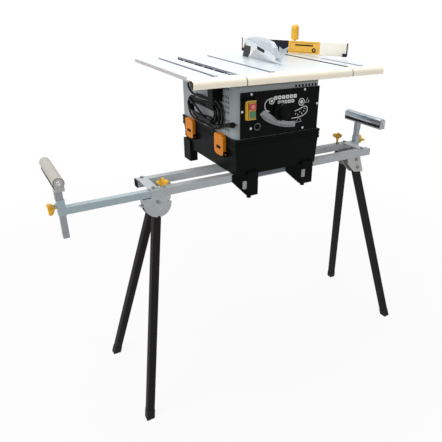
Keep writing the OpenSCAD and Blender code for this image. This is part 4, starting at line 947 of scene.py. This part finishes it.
bm = bmesh.new()
ring_band(bm, -92, 965, 9.6, 12.4, low=3.0, high=3.6)
dress("reset_ring", bm, "front_panel", "dark_steel_and_shade", smooth=False)
panel_screw_places = [(-149, 1019), (-115, 1072), (-116, 961), (158, 1019), (100, 1072),
    (100, 939)]
copied("panel_heads", screw_mesh(4.2, 2.4), [(x, panel_face, z) for x, z in panel_screw_places],
    (0, -1, 0), "panel_screws", "screw_white_and_painted_light", replaces=("panel_screws",))

# %% [markdown]
# ## Switch
# The switch gets its black hinge bar, a thin frame, and the two marks that every such switch has:
# a ring for off and a line for on. The marks could be cut into the buttons. As thin pieces they
# only have to ride on their buttons, and then they travel with them.

# %% Switch
switch_face = panel_face - 14
bar_place = (-93, 1057)


def on_switch(u, v, w):
    return at(u, switch_face - w, v)


def tube(bm, path, radius, sides):
    """A tube round a path of points, with its radius in mm."""
    rings = []
    normal = (path[1] - path[0]).orthogonal().normalized()
    for i, place in enumerate(path):
        ahead = (path[min(i + 1, len(path) - 1)] - path[max(i - 1, 0)]).normalized()
        normal = (normal - ahead * normal.dot(ahead)).normalized()
        beside = ahead.cross(normal)
        rings.append([place + (normal * math.cos(2 * math.pi * k / sides)
            + beside * math.sin(2 * math.pi * k / sides)) * radius / 1000 for k in range(sides)])
    rings_to_faces(bm, rings)


bm = bmesh.new()
tube(bm, [at(x, *bar_place) for x in (-147, -140, -130, -115, -103.5)], 4.6, 20)
line_along(bm, [(-134, 997), (-134, 1050), (-105, 1050), (-105, 997)], 1.6, on_switch, 0.0,
    0.6, closed=True)
dress("switch_bar", bm, "switch_box", "black_plastic", "black_plastic")
bm = bmesh.new()
ring_band(bm, -119, 1036, 3.4, 4.8, 24, on_switch, 4.0, 4.4)
dress("off_mark", bm, "stop_button", "ink_white", smooth=False)
bm = bmesh.new()
line_along(bm, [(-117.5, 1005), (-117.5, 1016)], 2.2, on_switch, 1.0, 1.4)
dress("on_mark", bm, "start_button", "ink_white", smooth=False)

# %% [markdown]
# ## Handwheel
# The wheel winds the blade up and down. Its flange and its grip have twelve shallow flutes for
# the fingers. They could be cut with a Boolean, which leaves a messy mesh. Instead the wheel is
# turned, and a rule of the angle draws the circle in at the flutes.

# %% Handwheel
flutes = 12
wheel_y, wheel_z = -92, 1006
wheel_profile = [(6, -150), (6, -0.5), (20, 0), (28, 0), (30, 1.5), (30, 6), (28.5, 7.6),
    (23, 8.4), (21.4, 10), (21, 14), (20.4, 23), (19.4, 26.5), (17.5, 29), (13, 30.6), (6, 31)]


def fluted(angle, radius, _):
    """Shallow flutes on the wide parts."""
    deep = 0.05 if radius > 25 else 0.07 if radius > 17 else 0
    return 1 - deep * max(0, math.cos(flutes * angle)) ** 2


bm = bmesh.new()
turned(bm, wheel_profile, at(0, wheel_y, wheel_z), (0, -1, 0), 96, fluted)
dress("fluted_handwheel", bm, "handwheel", "black_plastic", replaces=("handwheel",),
    sharp_angle=45)
bm = bmesh.new()
slab(bm, box_outline(-1.2, 1.2, 22, 27.5), 8.4, 9.0,
    lambda u, v, w: at(u, wheel_y - w, wheel_z + v))
dress("wheel_marks", bm, "handwheel", "dark_steel_and_shade")

# %% [markdown]
# ## Dark insides
# Vents read as holes only when it's dark behind them. The inside of the cabinet could be modelled
# and left to its own shadow. Thin liners a few millimetres behind the sheet do the same with
# three plates, and nobody can look past them.

# %% Liners
cabinet_low, cabinet_high = 929, 1092
liner_x, liner_y, liner_thick = 165.5, 78, 1


def blocks(bm, place, *sizes):
    """Plain blocks, each (u0, u1, v0, v1, low, high)."""
    for u0, u1, v0, v1, low, high in sizes:
        slab(bm, box_outline(u0, u1, v0, v1), low, high, place)


def to_user(u, v, w):
    """Drawn as seen from the front: u to the right, v up and w towards the user."""
    return at(u, -w, v)


bm = bmesh.new()
for side in (-1, 1):
    blocks(bm, lambda u, v, w, side=side: at(side * w, u, v),
        (-58, 300, cabinet_low + 6, cabinet_high - 4, liner_x, liner_x + liner_thick))
blocks(bm, to_user,
    (-150, 158, cabinet_high - 18, cabinet_high, liner_y, liner_y + liner_thick))
dress("dark_liners", bm, "cabinet", "deep_dark", "black_plastic", smooth=False)

# %% [markdown]
# ### Vents
# The cabinet's sides have seven rows of slots and its front one row under the table. The holes are
# in the imported solid and could be left open. A dark plate of painted shade, a little larger than
# the hole and just proud of the sheet, closes each one, so that it looks deep and its edge stays
# crisp. The rows aren't evenly spaced, so their heights are a list.

# %% Vents and slots
cabinet_foot = 927
vent_rows = (23, 53, 81, 98, 115, 130, 158)
vents_a_row, vent_pitch, first_vent = 6, 12, -40
vent_face, front_face = 172.03, -85.03


def plate_mesh(width, height, corner, thick=0.1):
    bm = bmesh.new()
    slab(bm, box_outline(-width / 2, width / 2, -height / 2, height / 2, corner), 0, thick,
        lambda u, v, w: Vector((u, v, w)) / 1000)
    return mesh_of(bm, "plate")


# The dark plates are painted shade for the inside of each vent and slot.
for name, side in (("left_vents", -1), ("right_vents", 1)):
    copied(name, plate_mesh(9.6, 5.2, 2), [(side * vent_face, first_vent + vent_pitch * i,
        cabinet_foot + row) for row in vent_rows for i in range(vents_a_row)], (side, 0, 0),
        "cabinet", "deep_dark", spin=0)
copied("front_slots", plate_mesh(8, 9, 1.5), [(64 + 14 * i, front_face, 1085) for i in range(7)],
    (0, -1, 0), "cabinet", "deep_dark", spin=0)

# %% [markdown]
# Each of the four latches has a long slot across it. It is cut in the imported latch, but there it's
# as orange as the rest and shows too little shade. A second material would need its faces picked out
# of the mesh, so a dark block is sunk in the slot as painted shade. It rides on its latch and swings
# away with it.

# %% Latch slots
slot_half, slot_low, slot_high = 15.8, 879.2, 889.8
for side_name, side in (("left", -1), ("right", 1)):
    for end, y in (("front", 3.5), ("back", 245.5)):
        latch = end + "_" + side_name + "_latch"
        bm = bmesh.new()
        slab(bm, box_outline(y - slot_half, y + slot_half, slot_low, slot_high, 2), 183, 188.6,
            lambda u, v, w, side=side: at(side * w, u, v))
        # The dark block is painted shade in the slot.
        dress(latch + "_slot", bm, latch, "deep_dark", "black_plastic")

# %% [markdown]
# ## The gaps between the tables
# On the real saw the side tables stand off the main table by a finger's width, and one looks down on
# guide tubes and folded edges there, which lie in shade. From above only the upper millimetres show,
# so thin strips carry them, all as painted shade: a dark floor in each gap and a grey or darker edge
# beside it. They could be modelled as whole tubes. But all that shows of them is boxes, so each
# piece is one line.

# %% Under the gaps
table_top = 1134
gap_front, gap_back = -74, 404


def strips(name, part, finish, *sizes):
    """Flat-shaded blocks in plain (x, y, z) millimetres, as one piece on a sub-part."""
    bm = bmesh.new()
    blocks(bm, at, *sizes)
    return dress(name, bm, part, finish, smooth=False)


# Painted shade: dark floors down in both gaps, the main table's grey left edge and the right table's
# darker edge.
strips("right_gap_floor", "main_table", "dark_steel_and_shade",
    (284, 302, gap_front, gap_back, table_top - 12, table_top - 10.5))
strips("left_gap_floor", "main_table", "deep_dark",
    (-187, -154, gap_front, gap_back, table_top - 20, table_top - 18),
    (-154, -153.2, gap_front, gap_back, table_top - 22, table_top - 7.5))
strips("main_left_edge", "main_table", "shaded_steel",
    (-153.5, -153.1, gap_front, gap_back, table_top - 7.4, table_top - 0.4))
strips("right_edge_shade", "right_extension", "dark_steel_and_shade",
    (302.5, 302.95, gap_front, gap_back, table_top - 8, table_top - 0.3))

# %% [markdown]
# The left gap also shows four pale dashes, painted light that shows through slots in the main
# table's side, and a bracket with three screws near its front end. They could be part of the solids,
# but they are no larger than a fingertip and hold nothing. As pieces of the main table they stay in
# place when the side table slides out.

# %% Fittings in the left gap
# Four pale dashes of painted light, showing through slots in the main table's side.
strips("gap_studs", "main_table", "screw_white_and_painted_light", *[(-157, -154, y, y + 9, table_top - 12,
    table_top - 7.2) for y in (336, 250, 172, 88)])
bm = bmesh.new()
slab(bm, box_outline(-186.5, -154, gap_front, -8, 3), table_top - 7, table_top - 3.4, at)
dress("gap_bracket", bm, "main_table", "ink_grey")
copied("gap_screws", screw_mesh(4, 2), [(-170, y, table_top - 3.5) for y in (-60, -40, -20)],
    up, "main_table", "deep_dark")

# %% [markdown]
# ## Plates and a web
# The cord's hanger is a moulded bracket with a web across its middle. The base's feet carry plates,
# which stay blank here. The stand's front rail gets a dark plate under the base, which stands for
# its label and for the painted shadow that the base casts on it. They are too thin to matter in the
# solids, but even half a millimetre of real thickness gives them an edge that a bump wouldn't.

# %% Hanger web, rail label and shadow, and foot plates
strips("hanger_web", "cord_hanger", "black_plastic", (-206, -173, 1, 35, 1047.5, 1082.5))
# A dark plate on the front rail: partly its label, partly painted shadow of the base above it.
bm = bmesh.new()
slab(bm, box_outline(-112, 96, 777, 797, 1), 66.05, 66.4, to_user)
dress("rail_plate", bm, "front_rail", "dark_steel_and_shade", smooth=False)
bm = bmesh.new()
for x in (-141, 112):
    slab(bm, box_outline(x - 8, x + 8, 752, 782, 4), 95.0, 95.6, to_user)
dress("foot_plates", bm, "base_tray", "ink_grey", smooth=False)

# %% [markdown]
# ## Mitre grooves
# Each table has a groove for the gauge's bar. It is cut in the solid already. A grey floor and a
# strip along one side are painted shade, darker than the plate, and make it read as steel from a low
# view, and a dark stop ends it in front. The three grooves are alike, so one function makes them
# from their x.

# %% Grooves
groove_front, groove_back = -69.8, 405


def groove_parts(name, part, x):
    # The grey floor and side strip are painted shade in the groove.
    strips(name + "_floor", part, "shaded_steel",
        (x - 7.9, x + 7.9, groove_front, groove_back, table_top - 9.45, table_top - 9.0),
        (x + 7.5, x + 7.95, groove_front, groove_back, table_top - 9.0, table_top - 0.3))
    bm = bmesh.new()
    slab(bm, box_outline(x - 12, x + 12, -80, -69.9, 3), table_top - 1, table_top + 1.4, at)
    dress(name + "_stop", bm, part, "dark_steel_and_shade", smooth=False)


groove_parts("main_groove", "main_table", -32)
groove_parts("left_groove", "left_extension", -240)
groove_parts("right_groove", "right_extension", 357)

# %% [markdown]
# The left table's outer edge is a folded skirt, a shade darker than the plate. It could be another
# step in the tables' finish, but only this one edge has it, so it's a thin strip on the table.

# %% Left edge
strips("left_edge_trim", "left_extension", "edge_grey",
    (-324.6, -324.05, -75, 406, table_top - 11.5, table_top - 0.6))

# %% [markdown]
# ## Joint lines and end cap
# Thin dark lines mark where one front rail meets the next, and the left rail's open end has a cap
# with two screws. A line could be painted on, but a thin strip catches the light as a real joint
# does. It follows the rolled edge, so its outline is worked out from the same arc.

# %% Joint lines
apron_radius = 16
apron_y, apron_z = -108, table_top - apron_radius
joint_width = 2.4


def apron_edge(grow):
    """The outside of the rolled rail in (y, z), moved out by a little."""
    reach = apron_radius + grow
    arc = [(apron_y - reach * math.sin(math.radians(a)),
        apron_z + reach * math.cos(math.radians(a))) for a in range(0, 91, 10)]
    return [(-75, table_top + grow)] + arc + [(-124 - grow, 1108)]


for name, x in (("left_joint", -152), ("right_joint", 281.5)):
    bm = bmesh.new()
    band(bm, apron_edge(-0.6), apron_edge(0.35), lambda u, v, w: at(x + w, u, v),
        -joint_width / 2, joint_width / 2)
    dress(name, bm, "main_table", "joint_brown")
strips("right_joint_notch", "main_table", "joint_brown",
    (281, 294, -84, -74.5, table_top - 0.6, table_top + 0.3))

# %% [markdown]
# The cap is a small plate with round corners in the rail's end. Its two screws differ in size, so
# they aren't copies but short turned discs, and like the cap they move with the left side table.

# %% End cap
cap_face = -333.8


def across_saw(u, v, w):
    """Drawn as seen from the side: u to the back, v up and w to the right."""
    return at(w, u, v)


bm = bmesh.new()
slab(bm, box_outline(-121.3, -100, 1108.5, 1128.5, 4), cap_face, -331, across_saw)
dress("left_end_cap", bm, "left_extension", "joint_brown")
bm = bmesh.new()
for y, z, radius in ((-112, 1113, 2.6), (-108, 1121, 2.0)):
    turned(bm, [(radius, 0), (radius, 0.4), (radius * 0.6, 0.5)], at(cap_face, y, z),
        (-1, 0, 0), 20)
dress("end_cap_screws", bm, "left_extension", "dark_steel_and_shade")

# %% [markdown]
# ## Fence board
# A long board is screwed to the mitre gauge and pushes the wood. It has a dark field and a yellow
# label, without a word on them, and black strips and stops at its ends. They could be drawn flat
# and turned afterwards. Here the gauge's own axes are rebuilt from its pivot and its angle, so
# each piece is drawn in the board's own millimetres and lands in its place.

# %% The gauge's axes
gauge_turn = math.radians(-51.5)
pivot_x, pivot_y = 357, 335
board_start, board_face = -229.8, -25
board_low, board_high = table_top + 1, table_top + 52


def on_gauge(u, v, w):
    """A place in the gauge's frame: u along the board, v away from the user, w up."""
    return at(pivot_x + u * math.cos(gauge_turn) - v * math.sin(gauge_turn),
        pivot_y + u * math.sin(gauge_turn) + v * math.cos(gauge_turn), w)


def on_board(u, v, w):
    return on_gauge(board_start + u, board_face - w, v)


print("the board starts at", [round(v, 3) for v in on_board(0, board_low, 0)])

# %% [markdown]
# The board is printed in two fields. An image would need its own mapping on the board, and a thin
# block on its face needs only its size. The label's frame, bar and ring lie on the yellow one.

# %% Label and dark field
print_thick, line_thick = 0.4, 0.6
for name, start_u, end_u, finish in (("board_dark_field", 88, 211, "label_black"),
        ("board_label", 211, 347, "label_yellow")):
    bm = bmesh.new()
    blocks(bm, on_board, (start_u, end_u, board_low + 2, board_high - 0.5, 0, print_thick))
    dress(name, bm, "fence_board", finish, smooth=False)
bm = bmesh.new()
line_along(bm, box_outline(219, 339, board_low + 8, board_high - 7), 1.2, on_board, print_thick,
    line_thick, closed=True)
blocks(bm, on_board, (240, 318, board_high - 19, board_high - 13, print_thick, line_thick))
ring_band(bm, 322, board_low + 17, 3.0, 9.0, 24, on_board, print_thick, line_thick)
dress("label_lines", bm, "fence_board", "joint_brown", smooth=False)

# %% [markdown]
# The end strips wrap round the board's edge, and a stop sticks out under each of them. They could
# be mirrored, but the stops aren't quite alike. Both ends are one piece, because they move
# together.

# %% Board ends
bm = bmesh.new()
for u in (-1.6, 458.8):
    blocks(bm, on_board, (u, u + 3.2, board_low, board_high + 0.6, -15, 0.8))
for u in (0.4, 444.4):
    blocks(bm, on_board, (u, u + 16, board_low - 0.8, board_low + 11.5, -0.5, 8.2))
dress("board_ends", bm, "fence_board", "label_black", smooth=False)

# %% [markdown]
# ## Guard
# The real guard is two clear side plates with a clear roof, a stiff white band along each side
# and two wings in front that lift over the wood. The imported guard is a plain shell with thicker
# walls, and clear plastic looks right only in thin ones. So it's built again from thin plates,
# which stand for that shell.

# %% Clear shell
guard_outline = [(297, 1178), (301, 1195), (287, 1207), (262, 1211), (191, 1214), (126, 1204),
    (101, 1187), (82, 1152), (70, 1141), (98, 1140), (140, 1144), (172, 1153), (214, 1168),
    (250, 1177)]
roof_line = guard_outline[3:8]
guard_left, guard_right = 90, 110
wall = 1.4
wing_foot, wing_top = (100, 70, 1139), (100, 52, 1186)


def thick_line(low, high):
    """Four corners of a wing's edge, from its lower to its upper end."""
    (x0, y0, z0), (x1, y1, z1) = low, high
    return [at(x0, y0, z0), at(x0, y0 - wall, z0), at(x1, y1 - wall, z1), at(x1, y1, z1)]


bm = bmesh.new()
for x in (guard_left, guard_right - wall):
    slab(bm, guard_outline, x, x + wall, across_saw)
line_along(bm, roof_line, wall, across_saw, guard_left, guard_right)
for low_x, high_x in ((93, 76), (107, 120)):
    rings_to_faces(bm, [thick_line((low_x, 72, 1140), (high_x, 42, 1198)),
        thick_line(wing_foot, wing_top)])
dress("clear_guard", bm, "guard", "clear_plastic", replaces=("guard",), sharp_angle=25)

# %% [markdown]
# The bands are stiffer and whiter plastic on the outside of the plates, with a second thin rim
# along the top. A pin joins them at the back. Solidify could thicken a drawn face, but a line of
# even width is what the real bands are. A dark slot in each band is a thin plate on it.

# %% Bands and slots
band_line = [(284, 1190), (250, 1188), (206, 1178), (155, 1168.5), (112, 1157), (84, 1148)]
rim_line = [(297, 1196), (262, 1208), (191, 1211), (128, 1201)]
band_height, rim_height = 19, 4
bm = bmesh.new()
for x in (guard_left - wall, guard_right):
    line_along(bm, band_line, band_height, across_saw, x, x + wall)
    line_along(bm, rim_line, rim_height, across_saw, x + 0.2, x + 1.2)
turned(bm, [(3, 0), (3, 26), (2, 26.4)], at(87, 284, 1190), (1, 0, 0), 24)
dress("guard_bands", bm, "guard", "clear_white", sharp_angle=25)
bm = bmesh.new()
for x in (88.2, 111.4):
    slab(bm, [(206, 1184), (155, 1174), (158, 1163), (208, 1171.5)], x, x + 0.4, across_saw)
dress("guard_slots", bm, "guard", "label_black", smooth=False)

# %% [markdown]
# ## Rollers
# Each roller turns on an axle that ends in a nut on both sides of its bracket. A cylinder with
# six sides would do for the nut, but the bolt's end in it is round. So both are turned, and for
# the nut a rule of the angle bends the circle into a hexagon.

# %% A nut
def hexed(angle, *_):
    """Bends a circle to a hexagon."""
    return math.cos(math.pi / 6) / math.cos(angle % (math.pi / 3) - math.pi / 6)


def nut_mesh(radius, height, bolt):
    bm = bmesh.new()
    turned(bm, [(radius, 0), (radius, height * 0.8), (radius * 0.9, height)], Vector(), up, 36,
        hexed)
    turned(bm, [(bolt, height), (bolt, height * 1.5), (bolt * 0.7, height * 1.7)], Vector(), up,
        20)
    return mesh_of(bm, "nut")


print("a hexagon's flats lie at", round(hexed(math.pi / 6), 3), "of its corners")

# %% [markdown]
# A dark line of painted shadow runs along each bracket, where the roller sits low in its channel.
# Typed places would be right only until the bracket changes. So the nuts are copies whose places,
# like the shadow lines', come from the bracket's own box.

# %% Axle nuts and painted shadow along the brackets
for side, x, height in (("left", -733, 882.5), ("right", 505, 906.5)):
    bracket = side + "_roller_bracket"
    front, back = ((corner.y - middle.y) * 1000 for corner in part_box(bracket))
    copied(side + "_axle_nuts", nut_mesh(8, 4.5, 3.6), [(x, back - 6, height),
        (x, front + 6, height)], [(0, 1, 0), (0, -1, 0)], bracket, "screw_white_and_painted_light")
    # Dark strips on both sides of each bracket under the roller: painted shadow of the gap between
    # roller and channel.
    bm = bmesh.new()
    blocks(bm, at, *[(x + face, x + face + 0.3, front + 9, back - 9, height - 19, height - 14)
        for face in (-13.35, 13.05)])
    dress(side + "_bracket_seams", bm, bracket, "deep_dark", "zinc", smooth=False)

# %% [markdown]
# ## Plug
# The cord ends in a moulded plug: a ribbed sleeve that flexes, a body that swells and two pins.
# It could be modelled from a box, but all of it is round, so sleeve and body are one profile, and
# the ribs in it come from a loop.

# %% Plug
plug_place = at(-190, -8, 961)
plug_rise = math.radians(14)
plug_axis = Vector((0, -math.cos(plug_rise), math.sin(plug_rise)))
ribs, rib_pitch, pin_apart = 8, 5, 5.5
ribbed = [(4.2, -1), (5.5, 0)]
for i in range(ribs):
    rib = rib_pitch * i
    ribbed += [(5.6, rib + 0.6), (5.6, rib + 3), (4.3, rib + 3.5), (4.3, rib + 5)]
bm = bmesh.new()
turned(bm, ribbed + [(6.2, 42), (7.2, 46), (7.4, 60), (7.2, 74), (8.2, 83), (9, 86), (9.2, 96),
    (8.6, 97)], plug_place, plug_axis, 32)
for side in (-pin_apart, pin_apart):
    turned(bm, [(2.2, 96), (2.2, 112.5), (1.5, 114)], plug_place + Vector((side / 1000, 0, 0)),
        plug_axis, 16)
plug = dress("moulded_plug", bm, "plug", "black_plastic", replaces=("plug",), sharp_angle=50)

# %% [markdown]
# ## The cord's finish
# The cord takes its rubber, rides on the stand and stands for the plain solids that the frame
# keeps in its place. Its length is what the curve measures, so it's never typed in.

# %% Cord in place
cord_curve.materials.append(finishes["cord_black"])
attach(mains_cord, "stand")
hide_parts("cord_lead", "cord_hank")

# %% [markdown]
# ## Floor
# The saw stands on white paper that keeps its shadow. What the camera sees directly, or in metal
# and glass, is lifted towards pure white by the floor's own material. More lamp light would do
# that too, but it would bleach the pale tables. The lift grows with the distance from the stand,
# so the paper runs into the white room without an edge.

# %% Floor
floor_half = 40
near_lift, lift_from, lift_to = 0.9, 0.7, 2.2
floor_mesh = bpy.data.meshes.new("floor")
floor_mesh.from_pydata([(*corner, 0) for corner in box_outline(-floor_half, floor_half,
    -floor_half, floor_half)], [], [(0, 1, 2, 3)])
floor = bpy.data.objects.new("floor", floor_mesh)
bpy.context.scene.collection.objects.link(floor)


def seen_rays(tree):
    """1 for what the camera, a mirror or glass looks at, and 0 for what only gives light."""
    rays = node(tree, "ShaderNodeLightPath").outputs
    return maths(tree, "MAXIMUM", rays["Is Camera Ray"], maths(
        tree, "MAXIMUM", rays["Is Glossy Ray"], rays["Is Transmission Ray"]))


paper = bpy.data.materials.new("paper")
paper.use_nodes = True
tree = paper.node_tree
tree.nodes.clear()
place = node(tree, "ShaderNodeTexCoord").outputs["Object"]
distance = node(tree, "ShaderNodeVectorMath", {0: place}, operation="LENGTH").outputs["Value"]
run_out = node(tree, "ShaderNodeMapRange", {"Value": distance, "From Min": lift_from,
    "From Max": lift_to, "To Min": near_lift, "To Max": 1.0}).outputs["Result"]
fibres = node(tree, "ShaderNodeTexNoise", {"Scale": 40.0, "Detail": 3.0}).outputs["Fac"]
matt = node(tree, "ShaderNodeBsdfDiffuse", {"Color": blend_colours(
    tree, fibres, paint(204, 204, 204), paint(212, 212, 212))})
glow = node(tree, "ShaderNodeEmission", {"Color": (1, 1, 1, 1), "Strength": 1.0})
mixed = node(tree, "ShaderNodeMixShader",
    {0: maths(tree, "MULTIPLY", seen_rays(tree), run_out), 1: matt.outputs[0],
    2: glow.outputs[0]})
tree.links.new(mixed.outputs[0], node(tree, "ShaderNodeOutputMaterial").inputs["Surface"])
floor_mesh.materials.append(paper)
print("floor", 2 * floor_half, "m wide")

# %% [markdown]
# ## Room and lamps
# A bright plain room shows every finish as it is, and three soft lamps shape the saw. A picture
# of a studio could light it as well, but then its windows would show in the rollers. The tables
# and left sides face the brightest lamps and the front faces the weakest, so the edges between
# them can be read. The room looks pure white and gives less light than it seems to.

# %% Room and lamps
room_light = 0.37
world = bpy.data.worlds.new("room")
bpy.context.scene.world = world
world.use_nodes = True
tree = world.node_tree
tree.nodes.clear()
strength = maths(tree, "MULTIPLY_ADD", seen_rays(tree), 1 - room_light, room_light)
backdrop = node(tree, "ShaderNodeBackground", {"Color": (1, 1, 1, 1), "Strength": strength})
tree.links.new(backdrop.outputs[0], node(tree, "ShaderNodeOutputWorld").inputs["Surface"])
saw_middle = at(0, 100, 900)


def lamp(name, place, size, watts):
    """A soft square lamp that looks at the saw."""
    light = bpy.data.lights.new(name, "AREA")
    light.size = size
    light.energy = watts
    made = bpy.data.objects.new(name, light)
    bpy.context.scene.collection.objects.link(made)
    made.location = place
    made.rotation_euler = (saw_middle - place).to_track_quat("-Z", "Y").to_euler()
    print(name, watts, "W")


lamp("left_lamp", at(-2500, -300, 2200), 2.0, 56)
lamp("front_lamp", at(900, -2700, 1700), 2.2, 17)
lamp("top_lamp", at(300, 700, 3300), 2.2, 66)
bpy.context.scene.view_settings.view_transform = "Standard"
